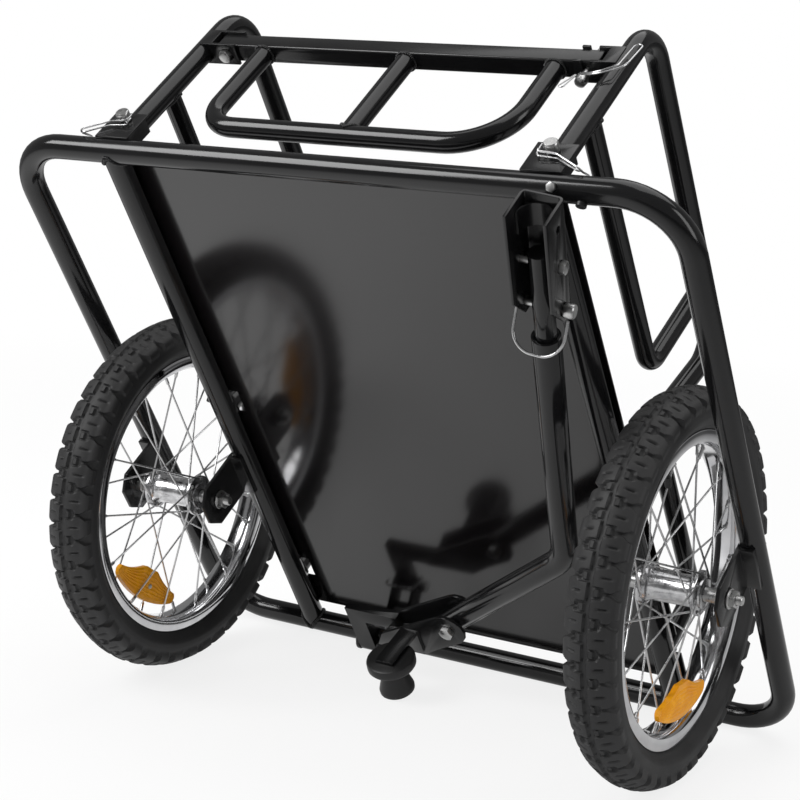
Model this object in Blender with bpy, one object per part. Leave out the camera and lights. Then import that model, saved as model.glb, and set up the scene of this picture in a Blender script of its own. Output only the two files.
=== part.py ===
"""A steel dog bike trailer, stood on its front end for storage.

The trailer is drawn as it would roll: x runs across it, y forward from the rear rail
to the front rail, and z up from the middle of the frame tubes. One empty then leans
the whole bed back onto its front rail, the way the trailer is stored.
"""
import math

import bmesh
import bpy
from mathutils import Matrix, Vector

# Frame
TUBE_D = 0.0254            # outer loop and bed side tubes
LOOP_WIDTH = 0.744         # between the middles of the side rails
LOOP_LENGTH = 0.709        # between the middles of the rear and front rails
LOOP_BEND = 0.062          # bend radius at the middle of the tube
BED_WIDTH = 0.480          # between the middles of the bed side tubes
PANEL_THICK = 0.002
PANEL_END = 0.022          # from the middle of each rail to the edge of the panel

# Wheels
WHEEL_R = 0.2025           # 16 inch wheel, over its tread
TYRE_WIDTH = 0.052
RIM_R = 0.1595
RIM_INNER_R = 0.1435
RIM_WIDTH = 0.034
RIM_WALL = 0.0018
WHEEL_X = 0.306            # middle of the trailer to the middle of a wheel
AXLE_BACK = 0.266          # from the front rail back to the axle
AXLE_Y = LOOP_LENGTH - AXLE_BACK
AXLE_Z = -0.0565
AXLE_R = 0.005
HUB_FLANGE_X = 0.029       # middle of the hub to a spoke flange
HUB_FLANGE_R = 0.0225
HUB_BODY_R = 0.0165
HUB_HALF = 0.034
SPOKES = 28
SPOKE_R = 0.0011
REFLECTOR_R = 0.131         # outer edge of the reflector
REFLECTOR_SPAN = math.radians(27)   # each way from its middle
REFLECTOR_THICK = 0.0080
BRACKET_PLATE = 0.004
BRACKET_HALF = 0.027
NUT_R = 0.0095
NUT_THICK = 0.008

# Side guards and tail gate
GUARD_TUBE_D = 0.0225
GUARD_HEIGHT = 0.2565      # top rail above the frame
GUARD_LENGTH = 0.404       # rear upright to the front top corner
GUARD_FOOT = 0.352         # where the front upright meets the bed tube
GUARD_BEND = 0.040
INNER_TUBE_D = 0.020
INNER_HEIGHT = 0.106
INNER_LENGTH = 0.307
INNER_TOP = 0.318
FRONT_RAIL_HEIGHT = 0.089
FRONT_RAIL_END = 0.625
CROSSBAR = 0.020
CROSSBAR_WALL = 0.0015
CROSSBAR_HEIGHT = 0.188
GATE_TUBE_D = 0.0205
GATE_LEFT = -0.162
GATE_RIGHT = 0.174
GATE_BOTTOM = 0.052
GATE_BAR_X = 0.009
GATE_BEND = 0.036
GATE_BIG_BEND = 0.062
CROSSBAR_END = 0.0115      # past the bolt it swings on
LUG_THICK = 0.003
SOCKET_HEIGHT = 0.032
SOCKET_WALL = 0.0025
PIN_R = 0.004

# Tow arm, folded under the bed
ARM_TUBE_D = 0.028
ARM_Z = -0.050
ARM_BOLT_X = 0.018
ARM_BOLT_BACK = 0.129      # from the front rail back to the bolt the arm swings on
ARM_BEND_X = 0.187
ARM_BEND_BACK = 0.272
ARM_BEND = 0.060
ARM_LEAN = math.radians(9.2)   # the far leg leans outwards
ARM_END = 0.130            # how far from the rear rail the tube ends
STEM_D = 0.0205
STEM_END = 0.032
HITCH_WIDTH = 0.0405
HITCH_DEPTH = 0.040
HITCH_WALL = 0.003
HITCH_TOP = -0.020
HITCH_FOOT = 0.106
FOLD_BACK = 0.029          # from the front rail to the axis the arm folds round
FOLD_Z = -0.035
FOLD_PIN_R = 0.004
LUG_R = 0.0095
LUG_LEFT = -0.1416
LUG_RIGHT = -0.1190
YOKE_LEFT = -0.088
YOKE_PLATE = 0.004
EAR_THICK = 0.004

# Rubber foot under the arm's fork, which touches the ground when the trailer is stored
FOOT_X = -0.0347
FOOT_SEAT_BACK = 0.121     # top of the cup, behind the front rail
FOOT_SEAT_Z = -0.1131
FOOT_TILT = math.radians(23.7)
FOOT_R = 0.0200
FOOT_NECK_R = 0.0138
CUP_R = 0.0278
CUP_TALL = 0.0216

STAND_Y = 0.0221           # puts the origin under the middle of the stored trailer
GAP = 0.0003               # between pieces that touch
RUN = 0.0004               # round a pin or an axle that turns
SIDES = 14                 # round a tube
BEND_STEPS = 5
WHEEL_STEPS = 56           # round a tyre or a rim

TUBE_R = TUBE_D / 2
GUARD_R = GUARD_TUBE_D / 2
INNER_R = INNER_TUBE_D / 2
GATE_R = GATE_TUBE_D / 2
ARM_R = ARM_TUBE_D / 2
STEM_R = STEM_D / 2
BED_X = BED_WIDTH / 2
FOLD_Y = LOOP_LENGTH - FOLD_BACK
ARM_BOLT = (ARM_BOLT_X, LOOP_LENGTH - ARM_BOLT_BACK)
ARM_BEND_AT = (ARM_BEND_X, LOOP_LENGTH - ARM_BEND_BACK)
RAIL_X = LOOP_WIDTH / 2
PIN_HEIGHT = TUBE_R + SOCKET_HEIGHT * 0.6
# The bolt is far enough in for the crossbar's end to swing past its bracket.
GATE_BOLT_X = BED_X - GUARD_R - LUG_THICK - math.hypot(CROSSBAR / 2, CROSSBAR_END) - 0.002


def lean_angle():
    """How far the bed leans back so that wheels and front rail stand on the ground."""
    ahead = LOOP_LENGTH - AXLE_Y
    drop = WHEEL_R - TUBE_R - GAP
    reach = math.hypot(ahead, AXLE_Z)
    return math.acos(drop / reach) + math.atan2(AXLE_Z, ahead)


LEAN = lean_angle()

for old in list(bpy.data.objects):
    bpy.data.objects.remove(old)


def add_empty(name, place, lean=0.0, parent=None):
    made = bpy.data.objects.new(name, None)
    bpy.context.scene.collection.objects.link(made)
    made.parent = parent
    made.location = place
    made.rotation_euler = (lean, 0, 0)
    return made


# The stored trailer stands over the origin, so its axle is a little way along +y.
trailer = add_empty("trailer", (0, STAND_Y, 0))
TURN = Matrix.Rotation(LEAN - math.pi / 2, 3, "X")
BED_AT = Vector((0, 0, WHEEL_R)) - TURN @ Vector((0, AXLE_Y, AXLE_Z))
bed = add_empty("bed_frame", BED_AT, LEAN - math.pi / 2, trailer)


def material(name, colour, roughness, metallic):
    made = bpy.data.materials.new(name)
    made.use_nodes = True
    shader = made.node_tree.nodes["Principled BSDF"]
    shader.inputs["Base Color"].default_value = (*colour, 1)
    shader.inputs["Roughness"].default_value = roughness
    shader.inputs["Metallic"].default_value = metallic
    return made


BLACK_STEEL = material("black_powder_coat", (0.012, 0.012, 0.013), 0.28, 0.0)
BLACK_PANEL = material("black_gloss_panel", (0.010, 0.010, 0.012), 0.08, 0.0)
RUBBER = material("black_rubber", (0.020, 0.020, 0.021), 0.75, 0.0)
CHROME = material("chrome", (0.80, 0.80, 0.82), 0.12, 1.0)
ZINC = material("zinc_steel", (0.62, 0.62, 0.62), 0.35, 1.0)
AMBER = material("amber_plastic", (0.90, 0.42, 0.03), 0.25, 0.0)


def finish(name, mesh, finish_material, parent=bed, place=(0, 0, 0)):
    mesh.materials.clear()
    mesh.materials.append(finish_material)
    mesh.shade_smooth()
    mesh.set_sharp_from_angle(angle=math.radians(35))
    made = bpy.data.objects.new(name, mesh)
    bpy.context.scene.collection.objects.link(made)
    made.parent = parent
    made.location = place
    return made


def from_bmesh(name, shape):
    mesh = bpy.data.meshes.new(name)
    bmesh.ops.recalc_face_normals(shape, faces=shape.faces)
    shape.to_mesh(mesh)
    shape.free()
    return mesh


def rounded_route(points, radii):
    """The corner points with each inner corner turned into an arc."""
    route = [Vector(points[0])]
    for i in range(1, len(points) - 1):
        before, at, after = (Vector(points[k]) for k in (i - 1, i, i + 1))
        into, out = (before - at).normalized(), (after - at).normalized()
        half = into.angle(out) / 2
        radius = radii[i - 1]
        middle = at + (into + out).normalized() * (radius / math.sin(half))
        start = at + into * (radius / math.tan(half)) - middle
        end = at + out * (radius / math.tan(half)) - middle
        sweep = start.angle(end)
        axis = start.cross(end).normalized()
        for step in range(BEND_STEPS + 1):
            turn = Matrix.Rotation(sweep * step / BEND_STEPS, 3, axis)
            route.append(middle + turn @ start)
    route.append(Vector(points[-1]))
    return route


def swept(route, radius, sides=SIDES, closed=False):
    """A round bar along a route, as a mesh with flat ends."""
    shape = bmesh.new()
    count = len(route)
    rings = []
    across = None
    for i, point in enumerate(route):
        before = route[i - 1] if (i > 0 or closed) else point
        after = route[(i + 1) % count] if (i < count - 1 or closed) else point
        along = ((after - point).normalized() + (point - before).normalized()).normalized()
        if across is None:
            guess = Vector((0, 0, 1)) if abs(along.z) < 0.9 else Vector((1, 0, 0))
            across = along.cross(guess).normalized()
        across = (across - along * across.dot(along)).normalized()
        other = along.cross(across)
        # A ring at a corner is stretched, so that the bar keeps its width there.
        bisector = (after - point).normalized() - (point - before).normalized()
        stretch = 1.0
        if bisector.length > 1e-6 and 0 < i < count - 1 or closed and bisector.length > 1e-6:
            half = (after - point).angle(point - before) / 2
            stretch = 1 / math.cos(half)
            bisector.normalize()
        ring = []
        for k in range(sides):
            angle = 2 * math.pi * (k + 0.5) / sides
            arm = across * (radius * math.cos(angle)) + other * (radius * math.sin(angle))
            if stretch > 1.0:
                arm += bisector * (arm.dot(bisector) * (stretch - 1))
            ring.append(shape.verts.new(point + arm))
        rings.append(ring)
    pairs = list(zip(rings, rings[1:])) + ([(rings[-1], rings[0])] if closed else [])
    for one, two in pairs:
        for k in range(sides):
            j = (k + 1) % sides
            shape.faces.new((one[k], one[j], two[j], two[k]))
    if not closed:
        shape.faces.new(rings[0][::-1])
        shape.faces.new(rings[-1])
    return shape


def bar(name, points, radii, radius, finish_material, sides=SIDES):
    route = rounded_route(points, radii) if radii else [Vector(p) for p in points]
    return finish(name, from_bmesh(name, swept(route, radius, sides)), finish_material)


def turned(name, outline, steps, phase=0.0):
    """A mesh turned round the x axis. The outline is closed and holds (x, radius)."""
    shape = bmesh.new()
    rings = []
    for x, radius in outline:
        if radius < 1e-6:
            rings.append([shape.verts.new((x, 0, 0))] * steps)
            continue
        ring = []
        for k in range(steps):
            angle = 2 * math.pi * k / steps + phase
            ring.append(shape.verts.new((x, radius * math.cos(angle), radius * math.sin(angle))))
        rings.append(ring)
    for one, two in zip(rings, rings[1:] + rings[:1]):
        for k in range(steps):
            j = (k + 1) % steps
            corners = []
            for vertex in (one[k], one[j], two[j], two[k]):
                if vertex not in corners:
                    corners.append(vertex)
            if len(corners) > 2:
                shape.faces.new(corners)
    return from_bmesh(name, shape)


def slab(name, outline, low, high, axis="Z"):
    """A flat outline given a thickness from low to high along an axis."""
    shape = bmesh.new()
    order = {"Z": lambda a, b, c: (a, b, c), "X": lambda a, b, c: (c, a, b),
             "Y": lambda a, b, c: (a, c, b)}[axis]
    bottom = [shape.verts.new(order(a, b, low)) for a, b in outline]
    top = [shape.verts.new(order(a, b, high)) for a, b in outline]
    shape.faces.new(bottom)
    shape.faces.new(top[::-1])
    for i in range(len(outline)):
        j = (i + 1) % len(outline)
        shape.faces.new((bottom[i], bottom[j], top[j], top[i]))
    return from_bmesh(name, shape)


def box(name, low, high):
    outline = [(low[0], low[1]), (high[0], low[1]), (high[0], high[1]), (low[0], high[1])]
    return slab(name, outline, low[2], high[2])


def helper(mesh, parent=bed, place=(0, 0, 0)):
    """An unseen shape that a Boolean uses."""
    made = bpy.data.objects.new(mesh.name + "_helper", mesh)
    bpy.context.scene.collection.objects.link(made)
    made.parent = parent
    made.location = place
    made.hide_render = True
    made.display_type = "WIRE"
    return made


def boolean(target, other, operation, merge_inside=False):
    step = target.modifiers.new(operation.lower(), "BOOLEAN")
    step.operation = operation
    step.object = other
    step.solver = "EXACT"
    step.use_self = merge_inside


def cut(target, mesh, place=(0, 0, 0)):
    boolean(target, helper(mesh, target.parent, place), "DIFFERENCE")


def add(target, mesh, place=(0, 0, 0), merge_inside=False):
    boolean(target, helper(mesh, target.parent, place), "UNION", merge_inside)


def rod_mesh(start, end, radius, sides=12):
    return from_bmesh("rod", swept([Vector(start), Vector(end)], radius, sides))


def hex_mesh(middle, axis, radius, low, high):
    """A hexagon bar along an axis vector, from low to high measured from the middle."""
    along = Vector(axis).normalized()
    middle = Vector(middle)
    return rod_mesh(middle + along * low, middle + along * high, radius, 6)


def gap_rod(start, end, radius, clearance=GAP, sides=SIDES):
    """The space that a bar needs, measured to its flats."""
    return rod_mesh(start, end, (radius + clearance) / math.cos(math.pi / sides), sides)


# Frame

def make_frame():
    y0, y1, x = 0.0, LOOP_LENGTH, RAIL_X
    corners = [(0, y0, 0), (x, y0, 0), (x, y1, 0), (-x, y1, 0), (-x, y0, 0), (0, y0, 0)]
    route = rounded_route(corners, [LOOP_BEND] * 4)[:-1]
    loop = from_bmesh("outer_loop", swept(route, TUBE_R, SIDES, closed=True))
    finish("outer_loop", loop, BLACK_STEEL)
    for side, name in ((-1, "left"), (1, "right")):
        tube = bar("bed_side_tube_" + name, [(side * BED_X, 0, 0), (side * BED_X, LOOP_LENGTH, 0)],
                   None, TUBE_R, BLACK_STEEL)
        for y in (0, LOOP_LENGTH):
            cut(tube, gap_rod((side * BED_X - 0.05, y, 0), (side * BED_X + 0.05, y, 0), TUBE_R))
            past = TUBE_R if y else -TUBE_R
            low, high = sorted((y, y + 2 * past))
            cut(tube, box("past", (side * BED_X - 0.03, low, -0.03), (side * BED_X + 0.03, high, 0.03)))
    rest = TUBE_R + GAP
    panel = box("floor_panel", (-BED_X - TUBE_R, PANEL_END, rest),
                (BED_X + TUBE_R, LOOP_LENGTH - PANEL_END, rest + PANEL_THICK))
    panel = finish("floor_panel", panel, BLACK_PANEL)
    clear = GUARD_R + 0.0045
    for side in (-1, 1):
        for y in (GUARD_FOOT, FRONT_RAIL_END):
            x = side * BED_X
            low = (x - clear, y - clear, rest - 0.01)
            high = (x + clear, y + clear, rest + 0.01)
            cut(panel, box("notch", low, high))


# Side guards

def guard_slope():
    """Unit vector down the front upright, which leans forward at its top."""
    top = Vector((0, GUARD_LENGTH, GUARD_HEIGHT))
    foot = Vector((0, GUARD_FOOT, 0))
    return (foot - top).normalized()


def cope(tube, x, y):
    """Shapes the foot of an upright to the bed tube that it is welded on."""
    cut(tube, gap_rod((x, y - 0.06, 0), (x, y + 0.06, 0), TUBE_R))
    cut(tube, box("below", (x - 0.04, y - 0.05, -0.03), (x + 0.04, y + 0.05, TUBE_R * 0.4)))


def make_guard(side, name):
    x = side * BED_X
    down = guard_slope()
    top_front = Vector((x, GUARD_LENGTH, GUARD_HEIGHT))
    foot = top_front + down * (GUARD_HEIGHT / -down.z)
    rear_foot = (x, 0, TUBE_R + GAP + SOCKET_WALL + GAP)
    outline = [rear_foot, (x, 0, GUARD_HEIGHT), top_front, foot]
    arch = bar("guard_arch_" + name, outline, [GUARD_BEND, GUARD_BEND], GUARD_R, BLACK_STEEL)
    cut(arch, rod_mesh((x, -0.05, PIN_HEIGHT), (x, 0.05, PIN_HEIGHT), PIN_R + RUN, 12))
    cope(arch, x, GUARD_FOOT)

    inner = bar("guard_inner_loop_" + name,
                [(x, 0, INNER_HEIGHT), (x, INNER_LENGTH, INNER_HEIGHT), (x, INNER_TOP, GUARD_HEIGHT)],
                [0.022], INNER_R, BLACK_STEEL, 12)
    cut(inner, gap_rod((x, 0, INNER_HEIGHT - 0.03), (x, 0, INNER_HEIGHT + 0.03), GUARD_R))
    cut(inner, box("past", (x - 0.03, -0.03, INNER_HEIGHT - 0.03), (x + 0.03, 0, INNER_HEIGHT + 0.03)))
    cut(inner, gap_rod((x, INNER_TOP - 0.04, GUARD_HEIGHT), (x, INNER_TOP + 0.04, GUARD_HEIGHT), GUARD_R))
    cut(inner, box("past", (x - 0.03, INNER_TOP - 0.03, GUARD_HEIGHT),
                   (x + 0.03, INNER_TOP + 0.03, GUARD_HEIGHT + 0.03)))

    on_upright = foot + down * ((FRONT_RAIL_HEIGHT - foot.z) / down.z)
    low_rail = bar("guard_front_rail_" + name,
                   [on_upright, (x, FRONT_RAIL_END, FRONT_RAIL_HEIGHT), (x, FRONT_RAIL_END, 0)],
                   [0.030], INNER_R, BLACK_STEEL, 12)
    cut(low_rail, gap_rod(on_upright - down * 0.04, on_upright + down * 0.04, GUARD_R))
    behind = on_upright - Vector((0, 0.03, 0))
    cut(low_rail, rod_mesh(behind - Vector((0, 0, 0.02)), behind + Vector((0, 0, 0.02)), 0.03, 8))
    cope(low_rail, x, FRONT_RAIL_END)


def make_socket(side, name):
    """The U bracket on the rear rail that holds a guard's rear upright."""
    x = side * BED_X
    inside = GUARD_R + 2 * GAP
    outside = inside + SOCKET_WALL
    base = TUBE_R + GAP
    top = TUBE_R + SOCKET_HEIGHT
    wings = outside + 0.006
    front = inside * 0.6
    plan = [(-wings, -outside), (wings, -outside), (wings, -inside), (outside, -inside), (outside, front),
            (inside, front), (inside, -inside), (-inside, -inside), (-inside, front), (-outside, front),
            (-outside, -inside), (-wings, -inside)]
    plan = [(x + a, b) for a, b in plan]
    socket = finish("guard_socket_" + name, slab("socket", plan, 0.004, top), BLACK_STEEL)
    lap = SOCKET_WALL / 2
    floor = box("floor", (x - inside - lap, -inside - lap, base),
                (x + inside + lap, front - lap, base + SOCKET_WALL))
    add(socket, floor)
    cut(socket, gap_rod((x - 0.08, 0, 0), (x + 0.08, 0, 0), TUBE_R))
    cut(socket, rod_mesh((x, -0.05, PIN_HEIGHT), (x, 0.0, PIN_HEIGHT), PIN_R + RUN, 12))

    head = -outside - GAP
    outline = [(head, 0), (head, 0.0065), (head - 0.006, 0.0085), (head - 0.011, 0.0065),
               (head - 0.011, 0)]
    tip = inside + 0.006
    outline = [(tip, 0), (tip - 0.003, PIN_R * 0.6), (tip - 0.005, PIN_R), (head, PIN_R)] + outline[1:]
    pin_mesh = turned("clip_pin", outline, 12)
    pin_mesh.transform(Matrix.Rotation(math.pi / 2, 4, "Z"))
    finish("clip_pin_" + name, pin_mesh, ZINC, place=(x, 0, PIN_HEIGHT))

    eye_y = head - 0.0055
    beside = wings + 0.018
    over = -outside - 0.004
    low_z = PIN_HEIGHT - 0.0108
    loop = [(-0.0100, eye_y, PIN_HEIGHT), (-0.0100, eye_y, low_z), (0.010, over, low_z),
            (beside, over, low_z - 0.017), (beside, over + 0.014, low_z - 0.005)]
    loop = [(x + side * a, b, c) for a, b, c in loop]
    bar("clip_wire_" + name, loop, [0.003, 0.006, 0.004], 0.0012, ZINC, 6)


# Tail gate

def make_gate():
    half = CROSSBAR / 2
    end = GATE_BOLT_X + CROSSBAR_END
    z0, z1 = CROSSBAR_HEIGHT - half, CROSSBAR_HEIGHT + half
    plate = LUG_THICK
    web = BED_X - GUARD_R - GAP - plate
    crossbar = finish("gate_crossbar", box("bar", (-end, -half, z0), (end, half, z1)), BLACK_STEEL)
    crossbar_hole = box("bore", (-end - 0.01, -half + CROSSBAR_WALL, z0 + CROSSBAR_WALL),
                        (end + 0.01, half - CROSSBAR_WALL, z1 - CROSSBAR_WALL))
    cut(crossbar, crossbar_hole)
    for x in (-GATE_BOLT_X, GATE_BOLT_X):
        cut(crossbar, rod_mesh((x, 0, z0 - 0.01), (x, 0, z1 + 0.01), PIN_R + RUN, 12))

    corners = [(GATE_LEFT, 0, z0 - GAP), (GATE_LEFT, 0, GATE_BOTTOM), (GATE_RIGHT, 0, GATE_BOTTOM),
               (GATE_RIGHT, 0, z0 - GAP)]
    loop_tube = bar("gate_loop", corners, [GATE_BEND, GATE_BIG_BEND], GATE_R, BLACK_STEEL)
    middle = [(GATE_BAR_X, 0, z0 - GAP), (GATE_BAR_X, 0, GATE_BOTTOM)]
    add(loop_tube, rod_mesh(*middle, GATE_R, SIDES))

    for side, name in ((-1, "left"), (1, "right")):
        inner = GATE_BOLT_X - 0.013
        under, over = z0 - GAP, z1 + GAP
        section = [(inner, under - plate), (BED_X, under - plate), (BED_X, over + plate),
                   (inner, over + plate), (inner, over), (web, over), (web, under), (inner, under)]
        section = [(side * a, b) for a, b in section]
        shape = slab("bracket", section, -0.0122, 0.0122, "Y")
        bracket = finish("gate_bracket_" + name, shape, BLACK_STEEL)
        cut(bracket, gap_rod((side * BED_X, 0, z0 - 0.05), (side * BED_X, 0, z1 + 0.05), GUARD_R))
        bolt = (side * GATE_BOLT_X, 0)
        cut(bracket, rod_mesh((*bolt, z0 - 0.02), (*bolt, z1 + 0.02), PIN_R + RUN, 12))
        if side > 0:
            slot = PIN_R + RUN + GAP
            cut(bracket, box("slot", (bolt[0] - slot, -0.03, z0 - 0.02),
                             (bolt[0] + slot, 0, z1 + 0.02)))

    under = z0 - GAP - LUG_THICK - GAP
    over = z1 + GAP + LUG_THICK + GAP
    head = hex_mesh((-GATE_BOLT_X, 0, under), (0, 0, -1), 0.0075, 0, 0.0055)
    bolt = finish("gate_bolt_left", head, ZINC)
    add(bolt, rod_mesh((-GATE_BOLT_X, 0, under - 0.002), (-GATE_BOLT_X, 0, over + 0.011), PIN_R, 12))
    nut = hex_mesh((-GATE_BOLT_X, 0, over), (0, 0, 1), 0.0075, 0, 0.006)
    nut = finish("gate_nut_left", nut, ZINC)
    cut(nut, rod_mesh((-GATE_BOLT_X, 0, over - 0.01), (-GATE_BOLT_X, 0, over + 0.02), PIN_R + GAP, 12))

    outline = [(0.020, 0), (0.020, 0.004), (0.018, 0.0075), (0.012, 0.0085), (0.008, 0.0065), (0.008, PIN_R),
               (under - over - 0.006, PIN_R), (under - over - 0.010, 0.0015), (under - over - 0.010, 0)]
    pin_mesh = turned("gate_pin", outline, 12)
    pin_mesh.transform(Matrix.Rotation(math.pi / 2, 4, "Y"))
    finish("gate_clip_pin", pin_mesh, ZINC, place=(GATE_BOLT_X, 0, under))
    x = GATE_BOLT_X
    round_y = GUARD_R + 0.006
    beside = BED_X + round_y + 0.002
    loop = [(x, -0.0094, under - 0.013), (x + 0.006, -round_y, under - 0.012),
            (BED_X, -round_y, z0 - 0.016), (beside, -round_y + 0.002, z1 - 0.002),
            (beside, 0.002, z1 + 0.004)]
    bar("gate_clip_wire", loop, [0.004, 0.012, 0.006], 0.0013, ZINC, 6)


# Wheels and what holds them

def make_bracket(side, name, inner):
    """A plate that hangs an axle end under a tube, with a saddle that takes the tube."""
    tube_x = side * (BED_X if inner else RAIL_X)
    toward = side if inner else -side
    face = TUBE_R * 0.55
    plate_low, plate_high = sorted((tube_x + toward * face, tube_x + toward * (face + BRACKET_PLATE)))
    y, z, h = AXLE_Y, AXLE_Z, BRACKET_HALF
    clip = h * 0.55
    outline = [(y - h, 0.004), (y - h, z - h + clip), (y - h + clip, z - h), (y + h - clip, z - h),
               (y + h, z - h + clip), (y + h, 0.004)]
    label = ("inner" if inner else "outer") + "_bracket_" + name
    bracket = finish(label, slab("plate", outline, plate_low, plate_high, "X"), BLACK_STEEL)
    low, high = sorted((tube_x + toward * (face + BRACKET_PLATE), tube_x - toward * TUBE_R * 0.6))
    add(bracket, box("saddle", (low, y - h, -TUBE_R - GAP - BRACKET_PLATE), (high, y + h, -TUBE_R * 0.4)))
    cut(bracket, gap_rod((tube_x, y - 0.1, 0), (tube_x, y + 0.1, 0), TUBE_R))
    cut(bracket, box("above", (tube_x - 0.04, y - 0.05, -TUBE_R * 0.4 + 0.003),
                     (tube_x + 0.04, y + 0.05, 0.03)))
    cut(bracket, rod_mesh((tube_x - 0.05, y, z), (tube_x + 0.05, y, z), AXLE_R + GAP, 12))
    return plate_low, plate_high


def make_axle(side, name):
    in_low, in_high = make_bracket(side, name, True)
    out_low, out_high = make_bracket(side, name, False)
    inner_face = in_high if side > 0 else in_low
    outer_face = out_low if side > 0 else out_high
    inner_back = in_low if side > 0 else in_high
    outer_back = out_high if side > 0 else out_low
    place = (0, AXLE_Y, AXLE_Z)
    ends = sorted((inner_back - side * (NUT_THICK + 0.006), outer_back + side * (NUT_THICK + 0.006)))
    rod = turned("axle", [(ends[0], 0), (ends[0], AXLE_R), (ends[1], AXLE_R), (ends[1], 0)], 12)
    axle = finish("axle_" + name, rod, ZINC, place=place)
    hub_in = side * (WHEEL_X - HUB_HALF - 0.0005)
    hub_out = side * (WHEEL_X + HUB_HALF + 0.0005)
    for start, end in ((inner_face + side * GAP, hub_in), (outer_face - side * GAP, hub_out)):
        low, high = sorted((start, end))
        spacer = turned("spacer", [(low, 0), (low, 0.009), (high, 0.009), (high, 0)], 12)
        add(axle, spacer, place)
    for back, way, label in ((inner_back, -side, "inner"), (outer_back, side, "outer")):
        start = back + way * GAP
        nut_mesh = hex_mesh((start, 0, 0), (way, 0, 0), NUT_R, 0, NUT_THICK)
        nut = finish(f"axle_nut_{label}_{name}", nut_mesh, ZINC, place=place)
        cut(nut, rod_mesh((start - 0.03, 0, 0), (start + 0.03, 0, 0), AXLE_R + GAP, 12), place)


def spoke_meshes():
    """All the spokes of one wheel as one mesh, crossed in pairs on each flange."""
    shape = bmesh.new()
    reach = RIM_INNER_R * math.cos(math.pi / WHEEL_STEPS) - GAP
    flange_r = HUB_FLANGE_R - 0.0035
    for k in range(SPOKES):
        side = -1 if k % 2 else 1
        lead = 1 if (k // 2) % 2 else -1
        rim_angle = 2 * math.pi * k / SPOKES
        hub_angle = rim_angle + lead * math.radians(62)
        start = Vector((side * HUB_FLANGE_X, flange_r * math.cos(hub_angle), flange_r * math.sin(hub_angle)))
        end = Vector((side * 0.003, reach * math.cos(rim_angle), reach * math.sin(rim_angle)))
        piece = from_bmesh("spoke", swept([start, end], SPOKE_R, 4))
        shape.from_mesh(piece)
        bpy.data.meshes.remove(piece)
    return from_bmesh("spokes", shape)


def make_wheel(side, name, reflector_angle, reflector_out, valve_angle):
    wheel = add_empty("wheel_" + name, (side * WHEEL_X, 0, WHEEL_R), 0.0, trailer)
    bottom = -math.pi / 2
    w, r = TYRE_WIDTH / 2, WHEEL_R
    bead = RIM_WIDTH / 2 - RIM_WALL - GAP
    seat = RIM_INNER_R + 0.009
    shoulder = 0.72 * w
    outline = [(-shoulder * 0.55, r), (shoulder * 0.55, r), (shoulder * 1.12, r - 0.006), (w, r - 0.017),
               (w, r - 0.027), (bead + 0.005, RIM_R + 0.0018), (bead, RIM_R + 0.0008), (bead, seat + GAP),
               (-bead, seat + GAP), (-bead, RIM_R + 0.0008), (-bead - 0.005, RIM_R + 0.0018),
               (-w, r - 0.027), (-w, r - 0.017), (-shoulder * 1.12, r - 0.006)]
    finish("tyre_" + name, turned("tyre", outline, WHEEL_STEPS, bottom), RUBBER, wheel)

    half, wall = RIM_WIDTH / 2, RIM_WALL
    outline = [(-half * 0.45, RIM_INNER_R), (half * 0.45, RIM_INNER_R), (half, RIM_INNER_R + 0.006),
               (half, RIM_R), (half - wall, RIM_R), (half - wall, seat), (-half + wall, seat),
               (-half + wall, RIM_R), (-half, RIM_R), (-half, RIM_INNER_R + 0.006)]
    rim = finish("rim_" + name, turned("rim", outline, WHEEL_STEPS, bottom), CHROME, wheel)

    body, flange, half_hub = HUB_BODY_R, HUB_FLANGE_R, HUB_HALF
    bore = AXLE_R + 0.0006
    fx = HUB_FLANGE_X
    right = [(fx - 0.0022, body), (fx - 0.0018, flange), (fx + 0.0018, flange), (fx + 0.0022, body * 0.9),
             (half_hub, body * 0.8), (half_hub, bore)]
    left = [(-x, r) for x, r in reversed(right)]
    hub = finish("spoked_hub_" + name, turned("hub", left + right, 24), CHROME, wheel)
    add(hub, spoke_meshes(), merge_inside=True)

    # The reflector sits close to the rim, between the spokes or clipped on the outside of them.
    steps = 8
    outline = []
    for k in range(steps + 1):
        a = reflector_angle - REFLECTOR_SPAN + 2 * REFLECTOR_SPAN * k / steps
        outline.append((REFLECTOR_R * math.cos(a), REFLECTOR_R * math.sin(a)))
    edge = ((1.0, 0.918), (0.75, 0.855), (0.25, 0.725), (-0.25, 0.725), (-0.75, 0.855), (-1.0, 0.918))
    for turn, r in edge:
        a = reflector_angle + REFLECTOR_SPAN * turn
        outline.append((REFLECTOR_R * r * math.cos(a), REFLECTOR_R * r * math.sin(a)))
    low, high = reflector_out - REFLECTOR_THICK / 2, reflector_out + REFLECTOR_THICK / 2
    finish("reflector_" + name, slab("reflector", outline, low, high, "X"), AMBER, wheel)

    away = Vector((0, math.cos(valve_angle), math.sin(valve_angle)))
    root = away * (RIM_INNER_R + 0.004)
    valve = finish("valve_" + name, rod_mesh(away * (RIM_INNER_R - 0.030), root, 0.0026, 10), RUBBER, wheel)
    add(valve, rod_mesh(away * (RIM_INNER_R - 0.036), away * (RIM_INNER_R - 0.028), 0.0034, 10))
    cut(rim, rod_mesh(away * (RIM_INNER_R - 0.010), away * (RIM_INNER_R + 0.020), 0.0026 + 2 * GAP, 10))


# Tow arm

def arm_direction():
    return Vector((math.sin(ARM_LEAN), -math.cos(ARM_LEAN), 0))


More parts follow.
